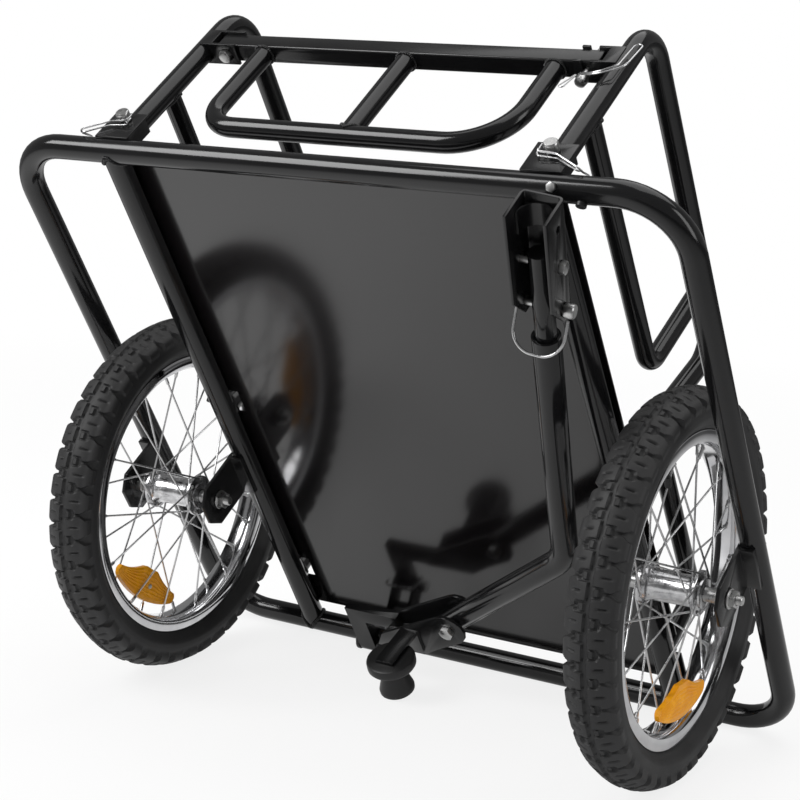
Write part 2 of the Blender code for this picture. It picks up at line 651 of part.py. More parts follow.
def make_yoke():
    """The fork that the arm turns in. It folds round the pin under the front rail."""
    z0 = ARM_Z - ARM_R - RUN - YOKE_PLATE
    z1 = ARM_Z + ARM_R + RUN + YOKE_PLATE
    bx, by = ARM_BOLT
    front = FOLD_Y - 0.047
    nose = []
    for k in range(8):
        angle = math.radians(-125 + 25 * k)
        nose.append((bx + 0.021 * math.cos(angle), by + 0.021 * math.sin(angle)))
    heel = [(YOKE_LEFT, front), (YOKE_LEFT + 0.010, front - 0.020), (YOKE_LEFT + 0.021, front - 0.027)]
    outline = heel + nose
    outline += [(bx - 0.020, by + 0.036), (bx - 0.044, front)]
    yoke = finish("arm_yoke", slab("plate", outline, z0, z0 + YOKE_PLATE), BLACK_STEEL)
    add(yoke, slab("plate", outline, z1 - YOKE_PLATE, z1))
    web = [(YOKE_LEFT + 0.0005, front - 0.0005), (YOKE_LEFT + 0.003, front - 0.006),
           (bx - 0.046, front - 0.006), (bx - 0.044, front - 0.0005)]
    inset = YOKE_PLATE / 2
    add(yoke, slab("web", web, z0 + inset, z1 - inset))
    low, high = FOLD_Z - LUG_R * 0.97, z1 - 0.0005
    back = front - 0.021
    elbow = [(LUG_LEFT, back), (YOKE_LEFT + 0.016, back), (YOKE_LEFT + 0.016, front - 0.001),
             (LUG_RIGHT, front - 0.001), (LUG_RIGHT, FOLD_Y), (LUG_LEFT, FOLD_Y)]
    add(yoke, slab("elbow", elbow, low, high))
    add(yoke, rod_mesh((LUG_LEFT + 0.0002, FOLD_Y, FOLD_Z), (LUG_RIGHT - 0.0002, FOLD_Y, FOLD_Z),
                       LUG_R, 18))
    cut(yoke, rod_mesh((LUG_LEFT - 0.01, FOLD_Y, FOLD_Z), (LUG_RIGHT + 0.01, FOLD_Y, FOLD_Z),
                       FOLD_PIN_R + RUN, 12))
    cut(yoke, rod_mesh((bx, by, z0 - 0.01), (bx, by, z1 + 0.01), 0.005 + RUN, 12))

    # The bent tab that carries the rubber foot.
    seat = Vector((FOOT_X, LOOP_LENGTH - FOOT_SEAT_BACK, FOOT_SEAT_Z))
    along = foot_axis()
    up_tab = Vector((0, along.z, -along.y))
    near, far = seat + along * GAP, seat + along * (GAP + 0.004)

    def reach(point, z):
        return point + up_tab * ((z - point.z) / up_tab.z)

    below, inside = z0 - 0.0035, z0 + 0.0015
    tab = [near - up_tab * 0.014, reach(near, below), Vector((0, by + 0.044, below)),
           Vector((0, by + 0.044, inside)), reach(far, inside), far - up_tab * 0.014]
    add(yoke, slab("tab", [(q.y, q.z) for q in tab], FOOT_X - 0.011, FOOT_X + 0.011, "X"))
    return z0, z1


def foot_axis():
    """Up the middle of the rubber foot, in the bed's coordinates."""
    return TURN.transposed() @ Vector((0, -math.sin(FOOT_TILT), math.cos(FOOT_TILT)))


def make_front_bracket():
    y, z = FOLD_Y, FOLD_Z
    ear = []
    for k in range(7):
        angle = math.radians(150 + 25 * k)
        ear.append((y + 0.0105 * math.cos(angle), z + 0.0105 * math.sin(angle)))
    ear += [(LOOP_LENGTH + 0.006, -0.006), (LOOP_LENGTH + 0.004, -0.0015), (LOOP_LENGTH - 0.018, -0.0015)]
    left = LUG_LEFT - RUN - EAR_THICK
    right = LUG_RIGHT + RUN
    bracket = finish("front_bracket", slab("ear", ear, left, left + EAR_THICK, "X"), BLACK_STEEL)
    add(bracket, slab("ear", ear, right, right + EAR_THICK, "X"))
    low = -TUBE_R - GAP - 0.004
    add(bracket, box("bridge", (left + 0.001, LOOP_LENGTH - 0.015, low),
                     (right + EAR_THICK - 0.001, LOOP_LENGTH + 0.003, -0.003)))
    cut(bracket, gap_rod((left - 0.02, LOOP_LENGTH, 0), (right + 0.02, LOOP_LENGTH, 0), TUBE_R))
    cut(bracket, rod_mesh((left - 0.02, y, z), (right + 0.02, y, z), FOLD_PIN_R + RUN, 12))

    head = right + EAR_THICK + GAP
    tip = left - 0.006
    outline = [(tip, 0), (tip + 0.002, FOLD_PIN_R), (head, FOLD_PIN_R), (head, 0.0075),
               (head + 0.004, 0.0085), (head + 0.010, 0.007), (head + 0.011, 0.004), (head + 0.011, 0)]
    finish("fold_pin", turned("fold_pin", outline, 14), ZINC, place=(0, y, z))
    eye = head + 0.0055
    above = z + 0.0165
    route = [(eye, y - 0.0102, z), (eye - 0.005, y - 0.011, above), (left - 0.004, y - 0.011, above),
             (left - 0.0045, y - 0.011, z + 0.009)]
    bar("fold_pin_wire", route, [0.006, 0.004], 0.0013, ZINC, 6)


def make_arm(z0, z1):
    bx, by = ARM_BOLT
    bend = Vector((*ARM_BEND_AT, ARM_Z))
    bolt = Vector((bx, by, ARM_Z))
    first = (bend - bolt).normalized()
    second = arm_direction()
    end = bend + second * ((bend.y - ARM_END) / -second.y)
    tube = bar("arm_tube", [bolt - first * 0.014, bend, end], [ARM_BEND], ARM_R, BLACK_STEEL, 16)
    cut(tube, rod_mesh((bx, by, z0 - 0.01), (bx, by, z1 + 0.01), 0.005 + RUN, 12))
    # The tube is open from end to end, so the stem slides into it.
    bore = [bolt - first * 0.03, bend, end + second * 0.02]
    cut(tube, from_bmesh("bore", swept(rounded_route(bore, [ARM_BEND]), STEM_R + 0.0006, 16)))
    stem_end = bend + second * ((bend.y - STEM_END) / -second.y)
    stem_start = end - second * 0.034
    stem = bar("hitch_stem", [stem_start, stem_end], None, STEM_R * math.cos(math.pi / SIDES), BLACK_STEEL)

    under, over = z0 - GAP, z1 + GAP
    head = finish("arm_bolt", hex_mesh((bx, by, under), (0, 0, -1), 0.0085, 0, 0.0065), ZINC)
    add(head, rod_mesh((bx, by, under - 0.002), (bx, by, over + 0.010), 0.005, 12))
    nut = finish("arm_nut", hex_mesh((bx, by, over), (0, 0, 1), 0.0085, 0, 0.0075), ZINC)
    cut(nut, rod_mesh((bx, by, over - 0.01), (bx, by, over + 0.02), 0.005 + GAP, 12))
    return bend, second, stem


def make_hitch(bend, along, stem):
    """The U channel that takes the ball or fork of the bike's hitch, on two cross pins."""
    def on_arm(y):
        return bend + along * ((bend.y - y) / -along.y)

    across = Vector((0, 0, 1)).cross(along).normalized()
    if across.x < 0:
        across = -across
    frame = Matrix((across, -along, Vector((0, 0, 1)))).transposed().to_4x4()
    origin = on_arm(0.0)

    def place(mesh):
        mesh.transform(Matrix.Translation(origin) @ frame)
        return mesh

    def at(y):
        return y / math.cos(ARM_LEAN)

    half = HITCH_WIDTH / 2
    back = ARM_R + 0.0035
    top, foot = at(HITCH_TOP), at(HITCH_FOOT)
    front = back - HITCH_DEPTH
    section = [(-half, back), (half, back), (half, front), (half - HITCH_WALL, front),
               (half - HITCH_WALL, back - HITCH_WALL), (-half + HITCH_WALL, back - HITCH_WALL),
               (-half + HITCH_WALL, front), (-half, front)]
    channel = finish("hitch_channel", place(slab("channel", section, top, foot, "Y")), BLACK_STEEL)
    corner = [(foot - 0.028, front - 0.001), (foot + 0.001, front - 0.001), (foot + 0.001, front + 0.022)]
    cut(channel, place(slab("corner", corner, -half - 0.01, half + 0.01, "X")))
    hole = at(0.002)
    cut(channel, place(rod_mesh((half - 0.02, hole, 0), (half + 0.01, hole, 0), 0.004, 12)))
    bolt_y, pin_y = at(0.043), at(0.0925)
    for y in (bolt_y, pin_y):
        cut(channel, place(rod_mesh((-half - 0.01, y, 0), (half + 0.01, y, 0), PIN_R + RUN, 12)))
        cut(stem, place(rod_mesh((-0.03, y, 0), (0.03, y, 0), PIN_R + RUN, 12)))

    ring_out = half - HITCH_WALL - GAP
    collar = turned("collar", [(-0.012, ring_out - 0.002), (-0.012, ring_out), (0.012, ring_out),
                               (0.012, ring_out - 0.002)], 24)
    collar.transform(Matrix.Rotation(math.pi / 2, 4, "Z"))
    collar.transform(Matrix.Translation((0, at(0.0), back - HITCH_WALL - GAP - ring_out)))
    finish("hitch_collar", place(collar), BLACK_STEEL)

    out = half + GAP
    bolt = finish("hitch_bolt", place(hex_mesh((out, bolt_y, 0), (1, 0, 0), 0.0068, 0, 0.005)), ZINC)
    add(bolt, place(rod_mesh((out + 0.002, bolt_y, 0), (-out - 0.009, bolt_y, 0), PIN_R, 12)))
    nut = finish("hitch_nut", place(hex_mesh((-out, bolt_y, 0), (-1, 0, 0), 0.0068, 0, 0.0055)), ZINC)
    cut(nut, place(rod_mesh((-out - 0.02, bolt_y, 0), (-out + 0.02, bolt_y, 0), PIN_R + GAP, 12)))

    outline = [(-out - 0.008, 0), (-out - 0.006, PIN_R), (out, PIN_R), (out, 0.007),
               (out + 0.005, 0.0085), (out + 0.010, 0.006), (out + 0.010, 0)]
    pin = turned("lock_pin", outline, 12)
    pin.transform(Matrix.Translation((0, pin_y, 0)))
    finish("hitch_lock_pin", place(pin), ZINC)
    wire = 0.0014
    span = out + 0.0050
    hang = Matrix.Rotation(-LEAN, 4, "X")
    route = [(span, 0.0093, 0), (span, 0.0467, 0), (-span + 0.0008, 0.0467, 0), (-span + 0.0008, 0.006, 0)]
    ring = from_bmesh("ring", swept(rounded_route(route, [span - 0.004, span - 0.004]), wire, 6))
    ring.transform(Matrix.Translation((0, pin_y, 0)) @ hang)
    finish("hitch_pin_ring", place(ring), ZINC)


# Rubber foot

def make_foot():
    axis = foot_axis()
    seat = Vector((FOOT_X, LOOP_LENGTH - FOOT_SEAT_BACK, FOOT_SEAT_Z))
    height = (BED_AT + TURN @ seat).z
    length = (height - FOOT_R * math.sin(FOOT_TILT) - GAP) / math.cos(FOOT_TILT)
    stand = add_empty("foot_stand", BED_AT + TURN @ (seat - axis * length), FOOT_TILT, trailer)

    def upright(mesh):
        mesh.transform(Matrix.Rotation(-math.pi / 2, 4, "Y"))
        return mesh

    low = length - CUP_TALL
    high = length
    cone = [(0, 0), (0, FOOT_R), (0.004, FOOT_R), (low - GAP, FOOT_NECK_R), (low - GAP, 0)]
    finish("rubber_foot", upright(turned("cone", cone, 24)), RUBBER, stand)
    cup = [(low, 0), (low, FOOT_NECK_R), (low + 0.010, CUP_R - 0.001), (low + 0.012, CUP_R),
           (high - 0.002, CUP_R), (high, CUP_R - 0.002), (high, 0)]
    finish("foot_cup", upright(turned("cup", cup, 24)), RUBBER, stand)


make_frame()
for mirror, hand in ((-1, "left"), (1, "right")):
    make_guard(mirror, hand)
    make_socket(mirror, hand)
    make_axle(mirror, hand)
make_gate()
make_wheel(-1, "left", math.radians(239), 0.0, math.radians(60))
make_wheel(1, "right", math.radians(270), 0.0156, math.radians(105))
yoke_low, yoke_high = make_yoke()
make_front_bracket()
arm_bend, arm_along, arm_stem = make_arm(yoke_low, yoke_high)
make_hitch(arm_bend, arm_along, arm_stem)
make_foot()
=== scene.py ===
# %% [markdown]
# # A steel dog bike trailer, stood up for storage
# The trailer leans on its two wheels and its front rail, so the camera sees the
# underside of its bed, with the tow arm folded flat against it. The CAD model gives every
# piece its real place and size. This lesson gives each piece its finished look: round
# tubes, welds, knobbly tyres, laced spokes, bright chrome and a glossy bed panel.

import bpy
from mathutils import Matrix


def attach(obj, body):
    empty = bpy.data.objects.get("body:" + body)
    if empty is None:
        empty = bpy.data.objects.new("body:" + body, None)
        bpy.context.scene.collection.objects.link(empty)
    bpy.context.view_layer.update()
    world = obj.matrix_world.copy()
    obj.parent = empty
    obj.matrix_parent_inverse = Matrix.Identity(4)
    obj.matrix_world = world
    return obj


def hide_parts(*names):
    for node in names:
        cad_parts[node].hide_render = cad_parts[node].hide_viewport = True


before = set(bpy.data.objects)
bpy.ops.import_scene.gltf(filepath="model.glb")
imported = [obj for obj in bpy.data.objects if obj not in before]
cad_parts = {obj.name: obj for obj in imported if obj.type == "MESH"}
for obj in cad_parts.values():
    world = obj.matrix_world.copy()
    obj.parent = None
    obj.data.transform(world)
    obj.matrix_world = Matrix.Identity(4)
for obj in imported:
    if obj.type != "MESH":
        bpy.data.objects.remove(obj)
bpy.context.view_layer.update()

# %% Blender's own modules
import math

import bmesh
import bpy
from mathutils import Matrix, Vector

# %% [markdown]
# ## Where the bed stands
# It is easiest to think of the bed as it rolls: x across it, y from the rear rail to the
# front rail and z up from the middle of the frame tubes. One matrix then leans the bed back
# until its front rail touches the ground, exactly as the CAD model stands. Wheels are built
# round their own axle, so they only need to be moved.

# %% The matrix that leans the bed back
WHEEL_R = 0.2025
TUBE_R = 0.0127
LOOP_LENGTH = 0.709
AXLE_Y, AXLE_Z = 0.443, -0.0565
GAP = 0.0003
STAND_Y = 0.0221
ahead = LOOP_LENGTH - AXLE_Y
reach = math.hypot(ahead, AXLE_Z)
LEAN = math.acos((WHEEL_R - TUBE_R - GAP) / reach) + math.atan2(AXLE_Z, ahead)
TURN = Matrix.Rotation(LEAN - math.pi / 2, 4, "X")
AXLE_AT = Vector((0, STAND_Y, WHEEL_R))
BED = Matrix.Translation(AXLE_AT - TURN @ Vector((0, AXLE_Y, AXLE_Z))) @ TURN
print("the bed leans back by", round(math.degrees(LEAN), 2), "degrees")

# %% [markdown]
# ## Shapes that everything is made from
# A bent tube is a circle swept along a route whose corners are arcs, and a hub or a pin is
# an outline turned round an axis. Both are a few lines of mesh code, which keeps the sizes
# exact. Curve objects would do the same, but a mesh can be cut and joined straight away.

# %% Routes, bars and turned shapes
def rounded(points, radii, steps=12):
    """The corner points with each inner corner turned into an arc."""
    route = [Vector(points[0])]
    for i, radius in enumerate(radii, 1):
        before, at, after = (Vector(points[k]) for k in (i - 1, i, i + 1))
        into, out = (before - at).normalized(), (after - at).normalized()
        half = into.angle(out) / 2
        middle = at + (into + out).normalized() * (radius / math.sin(half))
        start = at + into * (radius / math.tan(half)) - middle
        end = at + out * (radius / math.tan(half)) - middle
        axis = start.cross(end).normalized()
        for step in range(steps + 1):
            route.append(middle + Matrix.Rotation(start.angle(end) * step / steps, 3, axis) @ start)
    route.append(Vector(points[-1]))
    return route


def as_mesh(name, shape, outwards=True):
    """Turns a bmesh into a mesh, with its faces pointing outwards."""
    if outwards:
        bmesh.ops.recalc_face_normals(shape, faces=shape.faces)
    mesh = bpy.data.meshes.new(name)
    shape.to_mesh(mesh)
    shape.free()
    return mesh


def bridge(shape, rings):
    """Joins each ring of points to the next with faces."""
    for one, two in zip(rings, rings[1:]):
        for k in range(len(one)):
            j = (k + 1) % len(one)
            shape.faces.new((one[k], one[j], two[j], two[k]))


def polar(x, radius, angle):
    """A point at an angle round the x axis."""
    return Vector((x, radius * math.cos(angle), radius * math.sin(angle)))


def bar(route, radius, sides=32, closed=False):
    """A round bar along a route, with flat ends unless the route is closed."""
    shape = bmesh.new()
    rings = []
    across = None
    route = [Vector(p) for p in route]
    last = len(route) - 1
    angles = [2 * math.pi * (k + 0.5) / sides for k in range(sides)]
    for i, point in enumerate(route):
        before = route[i - 1] if i or closed else point
        after = route[(i + 1) % len(route)] if i < last or closed else point
        along = ((after - point).normalized() + (point - before).normalized()).normalized()
        if across is None:
            across = along.cross(Vector((0, 0, 1)) if abs(along.z) < 0.9 else Vector((1, 0, 0)))
        across = (across - along * across.dot(along)).normalized()
        other = along.cross(across)
        rings.append([shape.verts.new(point + (across * math.cos(a) + other * math.sin(a)) * radius)
                      for a in angles])
    bridge(shape, rings + rings[:1] if closed else rings)
    if not closed:
        shape.faces.new(rings[0])
        shape.faces.new(rings[-1])
    return as_mesh("bar", shape)


def rod(start, end, radius, sides=24):
    return bar([start, end], radius, sides)


def turned(outline, steps=48):
    """An outline of (x, radius) turned round the x axis. It closes on the axis or on itself."""
    shape = bmesh.new()
    rings = [[shape.verts.new(polar(x, radius, 2 * math.pi * k / steps)) for k in range(steps)]
             for x, radius in outline]
    bridge(shape, rings + rings[:1])
    bmesh.ops.remove_doubles(shape, verts=shape.verts, dist=1e-6)
    bmesh.ops.dissolve_degenerate(shape, dist=1e-7, edges=shape.edges)
    return as_mesh("turned", shape)


def slab(outline, low, high, axis="Z"):
    """A flat outline given a thickness from low to high along an axis."""
    order = {"X": lambda a, b, c: (c, a, b), "Y": lambda a, b, c: (a, c, b),
             "Z": lambda a, b, c: (a, b, c)}[axis]
    shape = bmesh.new()
    bottom = [shape.verts.new(order(a, b, low)) for a, b in outline]
    top = [shape.verts.new(order(a, b, high)) for a, b in outline]
    shape.faces.new(bottom)
    shape.faces.new(top)
    bridge(shape, [bottom, top])
    return as_mesh("slab", shape)


def block(low, high):
    corners = [(low[0], low[1]), (high[0], low[1]), (high[0], high[1]), (low[0], high[1])]
    return slab(corners, low[2], high[2])


print("a test bar has", len(rod((0, 0, 0), (0, 0, 1), 0.01).polygons), "faces")

# %% [markdown]
# ## Cutting, joining and softening
# Where one tube is welded on another, its end is shaped to fit. A Boolean modifier does
# that cut. Sheet metal never has a knife-sharp edge either, so a small Bevel modifier
# rounds it. Each modifier is applied at once by reading the evaluated mesh back.

# %% Helpers that apply modifiers
def unseen(mesh):
    made = bpy.data.objects.new("unseen", mesh)
    bpy.context.scene.collection.objects.link(made)
    return made


def applied(holder, extra=()):
    graph = bpy.context.evaluated_depsgraph_get()
    mesh = bpy.data.meshes.new_from_object(holder.evaluated_get(graph))
    for old in (holder, *extra):
        bpy.data.objects.remove(old)
    return mesh


def cut(mesh, *others):
    """The mesh with the other shapes cut away."""
    holder = unseen(mesh)
    helpers = [unseen(other) for other in others]
    for other in helpers:
        step = holder.modifiers.new("cut", "BOOLEAN")
        step.operation = "DIFFERENCE"
        step.object = other
        step.solver = "EXACT"
    return applied(holder, helpers)


def softened(mesh, width=0.0006, segments=2, angle=32):
    holder = unseen(mesh)
    step = holder.modifiers.new("soften", "BEVEL")
    step.width = width
    step.segments = segments
    step.limit_method = "ANGLE"
    step.angle_limit = math.radians(angle)
    return applied(holder)


def together(*meshes):
    """Several meshes as one."""
    shape = bmesh.new()
    for mesh in meshes:
        shape.from_mesh(mesh)
    return as_mesh("together", shape, outwards=False)


def moved(mesh, at=(0, 0, 0), toward=None):
    """A mesh built along x, turned to point another way and moved."""
    turn = Matrix()
    if toward:
        turn = Vector((1, 0, 0)).rotation_difference(Vector(toward)).to_matrix().to_4x4()
    mesh.transform(Matrix.Translation(at) @ turn)
    return mesh


def cad_copy(node):
    """A clean copy of a CAD node's mesh, put back in the bed's own coordinates."""
    shape = bmesh.new()
    shape.from_mesh(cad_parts[node].data)
    bmesh.ops.remove_doubles(shape, verts=shape.verts, dist=2e-5)
    bmesh.ops.dissolve_limit(shape, angle_limit=math.radians(1.0), verts=shape.verts, edges=shape.edges)
    made = as_mesh(node + "_copy", shape, outwards=False)
    made.transform(BED.inverted())
    return made


notched = cut(block((0, 0, 0), (1, 1, 1)), block((0.5, 0.5, 0.5), (2, 2, 2)))
print("a cut test leaves", len(notched.polygons), "faces")

# %% [markdown]
# ## Effects that several finishes share
# Real surfaces are never even. Two small shader groups give that: a grain, which is
# fine noise for colour, gloss and bumps, and dust, which settles on what faces up. A third
# paints an edge highlight: a lighter tone on the corners, found by comparing the true normal
# with a rounded one. Each material uses them with its own numbers. They read Object coordinates, so they stay
# on the piece.

# %% Three shader node groups
def wire(tree, start, end):
    tree.links.new(start, end)


def add(tree, kind, inputs=None, **settings):
    """A new node with its settings. Each input gets a value or a link from another socket."""
    node = tree.nodes.new(kind)
    for label, value in settings.items():
        setattr(node, label, value)
    for label, value in (inputs or {}).items():
        if isinstance(value, bpy.types.NodeSocket):
            wire(tree, value, node.inputs[label])
        else:
            node.inputs[label].default_value = value
    return node


def math_node(tree, operation, *values, clamp=False):
    inputs = dict(enumerate(values))
    return add(tree, "ShaderNodeMath", inputs, operation=operation, use_clamp=clamp).outputs[0]


def new_group(name, kind, inputs, outputs):
    """A node group and its two end nodes. Sockets are name: (type, value)."""
    tree = bpy.data.node_groups.new(name, kind)
    for way, sockets in (("INPUT", inputs), ("OUTPUT", outputs)):
        for label, (sort, value) in sockets.items():
            made = tree.interface.new_socket(label, in_out=way, socket_type="NodeSocket" + sort)
            if value is not None:
                made.default_value = value
    return tree, add(tree, "NodeGroupInput"), add(tree, "NodeGroupOutput")


def effect(name, outputs, **inputs):
    """A shader group whose sockets are all plain numbers."""
    floats = {label.replace("_", " "): ("Float", value) for label, value in inputs.items()}
    return new_group(name, "ShaderNodeTree", floats, {label: ("Float", None) for label in outputs})


def noise(tree, scale, detail):
    place = add(tree, "ShaderNodeTexCoord").outputs["Object"]
    return add(tree, "ShaderNodeTexNoise", {"Vector": place, "Scale": scale, "Detail": detail}).outputs["Fac"]


GRAIN, take, give = effect("grain", ["Fine", "Cloud"], Size=400.0, Cloud_size=12.0)
wire(GRAIN, noise(GRAIN, take.outputs["Size"], 2.0), give.inputs["Fine"])
wire(GRAIN, noise(GRAIN, take.outputs["Cloud size"], 4.0), give.inputs["Cloud"])

DUST, take, give = effect("settled_dust", ["Mask"], Amount=0.2, Size=60.0)
split = add(DUST, "ShaderNodeSeparateXYZ", {0: add(DUST, "ShaderNodeTexCoord").outputs["Normal"]})
up = math_node(DUST, "MULTIPLY_ADD", split.outputs["Z"], 0.7, 0.3, clamp=True)
patchy = math_node(DUST, "MULTIPLY", up, noise(DUST, take.outputs["Size"], 5.0))
wire(DUST, math_node(DUST, "MULTIPLY", patchy, take.outputs["Amount"], clamp=True), give.inputs["Mask"])

# A painted edge highlight: corners, where a rounded normal parts from the true one, get a lighter tone.
EDGE_HIGHLIGHT, take, give = effect("painted_edge_highlight", ["Mask"], Reach=0.0012, Strength=1.0)
soft = add(EDGE_HIGHLIGHT, "ShaderNodeBevel", {"Radius": take.outputs["Reach"]}, samples=4)
true = add(EDGE_HIGHLIGHT, "ShaderNodeNewGeometry")
compare = add(EDGE_HIGHLIGHT, "ShaderNodeVectorMath", {0: soft.outputs["Normal"], 1: true.outputs["Normal"]},
              operation="DOT_PRODUCT")
corner = math_node(EDGE_HIGHLIGHT, "SUBTRACT", 1.0, compare.outputs["Value"])
corner = math_node(EDGE_HIGHLIGHT, "MULTIPLY", corner, noise(EDGE_HIGHLIGHT, 90.0, 4.0))
wire(EDGE_HIGHLIGHT, math_node(EDGE_HIGHLIGHT, "MULTIPLY", corner, take.outputs["Strength"], clamp=True), give.inputs["Mask"])
print("shader groups:", [group.name for group in bpy.data.node_groups])

# %% [markdown]
# ## How a finish is put together
# Every finish is one Principled shader. Its colour is a dark and a light tone mixed by the
# cloud of the grain, then dust on top, then a painted edge highlight, a lighter tone on the
# corners. Its roughness follows the same cloud, and the fine grain is its bump. Numbers that
# are the same all over sit on the shader's own sockets.


def mix_colour(tree, mask, one, two):
    """Two colours mixed by a mask. The node's colours are its sockets 6 and 7."""
    one, two = ((*tone, 1) if isinstance(tone, tuple) else tone for tone in (one, two))
    return add(tree, "ShaderNodeMix", {0: mask, 6: one, 7: two}, data_type="RGBA").outputs[2]


def spread(tree, value, low, high, start=0.3, end=0.7):
    """Stretches the values from start to end over the range from low to high."""
    ends = {"Value": value, "From Min": start, "From Max": end, "To Min": low, "To Max": high}
    return add(tree, "ShaderNodeMapRange", ends).outputs["Result"]


def use(tree, group, **values):
    inputs = {label.replace("_", " "): value for label, value in values.items()}
    return add(tree, "ShaderNodeGroup", inputs, node_tree=group)


def finish(name, slot, dark, light, gloss, metallic=0.0, grain=400.0, cloud=12.0, bump=0.1, depth=0.0002,
           dust=0.0, dust_tone=(0.30, 0.29, 0.27), edge_highlight=0.0, edge_highlight_tone=(0.3, 0.3, 0.3), **settings):
    """One material. gloss is the lowest and highest roughness."""
    made = bpy.data.materials.new(name)
    made.use_nodes = True
    tree = made.node_tree
    shader = tree.nodes["Principled BSDF"]
    grains = use(tree, GRAIN, Size=grain, Cloud_size=cloud)
    level = spread(tree, grains.outputs["Cloud"], 0.0, 1.0)
    colour = mix_colour(tree, level, dark, light)
    if dust:
        dusty = use(tree, DUST, Amount=dust)
        colour = mix_colour(tree, dusty.outputs["Mask"], colour, dust_tone)
    # Corners get a lighter tone here, a painted edge highlight.
    if edge_highlight:
        highlight_mask = use(tree, EDGE_HIGHLIGHT, Strength=edge_highlight)
        colour = mix_colour(tree, highlight_mask.outputs["Mask"], colour, edge_highlight_tone)
    wire(tree, colour, shader.inputs["Base Color"])
    wire(tree, spread(tree, grains.outputs["Cloud"], *gloss), shader.inputs["Roughness"])
    shader.inputs["Metallic"].default_value = metallic
    fine = grains.outputs["Fine"]
    relief = add(tree, "ShaderNodeBump", {"Strength": bump, "Distance": depth, "Height": fine})
    wire(tree, relief.outputs["Normal"], shader.inputs["Normal"])
    for label, value in settings.items():
        shader.inputs[label.replace("_", " ")].default_value = value
    return made


# %% [markdown]
# ## The finishes of this trailer
# The tubes are sprayed with a glossy black powder that bakes into a faint orange peel. The
# bed panel is smoother and works as a dark mirror. Rims and hubs are chromed, spokes and
# bolts are zinc plated, and the tyres are matt rubber with a little dust on their tread.

# %% Make the finishes
# Where a finish lightens its corners, that lighter tone is a painted edge highlight.
POWDER = finish("black_powder_coat", "powder_coat",
                (0.0040, 0.0040, 0.0044), (0.0065, 0.0065, 0.0070), (0.10, 0.17),
                grain=900.0, bump=0.10, dust=0.008, edge_highlight=0.3, edge_highlight_tone=(0.06, 0.06, 0.06))
PLATE = finish("black_pressed_plate", "powder_coat",
               (0.0045, 0.0045, 0.0049), (0.0080, 0.0080, 0.0084), (0.16, 0.26),
               grain=700.0, bump=0.15, depth=0.0003, dust=0.01, edge_highlight=0.4, edge_highlight_tone=(0.10, 0.10, 0.10))
PANEL = finish("black_gloss_sheet", "panel",
               (0.0042, 0.0036, 0.0040), (0.0066, 0.0058, 0.0062), (0.10, 0.14),
               grain=60.0, cloud=4.0, bump=0.03, depth=0.0003, Specular_IOR_Level=0.85)
CHROME = finish("bright_chrome", "chrome", (0.62, 0.62, 0.64), (0.80, 0.80, 0.81), (0.06, 0.14),
                metallic=1.0, grain=300.0, cloud=30.0, bump=0.05)
HUB_METAL = finish("mottled_hub_chrome", "chrome", (0.40, 0.40, 0.41), (0.76, 0.76, 0.77), (0.12, 0.28),
                   metallic=1.0, grain=500.0, cloud=110.0, bump=0.16, depth=0.0004)
SPOKE_WIRE = finish("zinc_spoke_wire", "zinc", (0.55, 0.55, 0.56), (0.72, 0.72, 0.72), (0.22, 0.34),
                    metallic=1.0, grain=900.0, cloud=60.0, bump=0.05)
ZINC = finish("bright_zinc", "zinc", (0.46, 0.46, 0.46), (0.70, 0.70, 0.69), (0.22, 0.38),
              metallic=1.0, grain=1200.0, cloud=120.0, bump=0.2, edge_highlight=0.4, edge_highlight_tone=(0.9, 0.9, 0.9))
TYRE = finish("tread_rubber", "tyre", (0.0105, 0.0105, 0.0112), (0.0165, 0.0165, 0.0175), (0.50, 0.64),
              grain=1400.0, cloud=25.0, bump=0.3, depth=0.0003, dust=0.06,
              edge_highlight=0.4, edge_highlight_tone=(0.05, 0.05, 0.05))
RUBBER = finish("moulded_rubber", "rubber",
                (0.0055, 0.0055, 0.0060), (0.0090, 0.0090, 0.0095), (0.34, 0.48),
                grain=1200.0, cloud=40.0, bump=0.25, dust=0.03)
AMBER = finish("amber_lens", "amber", (0.74, 0.27, 0.001), (0.90, 0.39, 0.003), (0.20, 0.30),
               grain=500.0, cloud=40.0, bump=0.05, Specular_IOR_Level=0.35)

# %% [markdown]
# ## Putting a finished piece in place
# A finished piece has its place in its mesh, as a CAD node does. It rides on the body that
# it belongs to, and the CAD nodes that it stands for are hidden.

# %% One function that finishes a piece
def placed(name, mesh, material, body, stands_for=(), at=BED, crease=35):
    mesh.transform(at)
    mesh.materials.clear()
    mesh.materials.append(material)
    mesh.polygons.foreach_set("material_index", [0] * len(mesh.polygons))
    mesh.shade_smooth()
    mesh.set_sharp_from_angle(angle=math.radians(crease))
    piece = bpy.data.objects.new(name, mesh)
    bpy.context.scene.collection.objects.link(piece)
    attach(piece, body)
    if stands_for:
        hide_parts(*([stands_for] if isinstance(stands_for, str) else stands_for))
    return piece


# %% [markdown]
# ## Geometry Nodes for what repeats
# Tread blocks, spokes and weld ripples repeat by a rule, so node trees make them. The
# first tree takes one shape, modelled where it belongs at the top of the wheel, and turns
# copies of it round the axle. The second lays small flattened beads along a line, which
# is just how a welder's ripples look. Both end in real mesh with the material set.

# %% Two geometry node trees
def shape_tree(name, inputs):
    mesh = {"Geometry": ("Geometry", None)}
    return new_group(name, "GeometryNodeTree", {**mesh, **inputs, "Material": ("Material", None)}, mesh)


def closing_nodes(tree, take, give, copies):
    """Turns the copies into real mesh and paints them."""
    real = add(tree, "GeometryNodeRealizeInstances", {0: copies.outputs["Instances"]})
    paint = add(tree, "GeometryNodeSetMaterial", {"Geometry": real.outputs[0],
                                                  "Material": take.outputs["Material"]})
    wire(tree, paint.outputs[0], give.inputs[0])


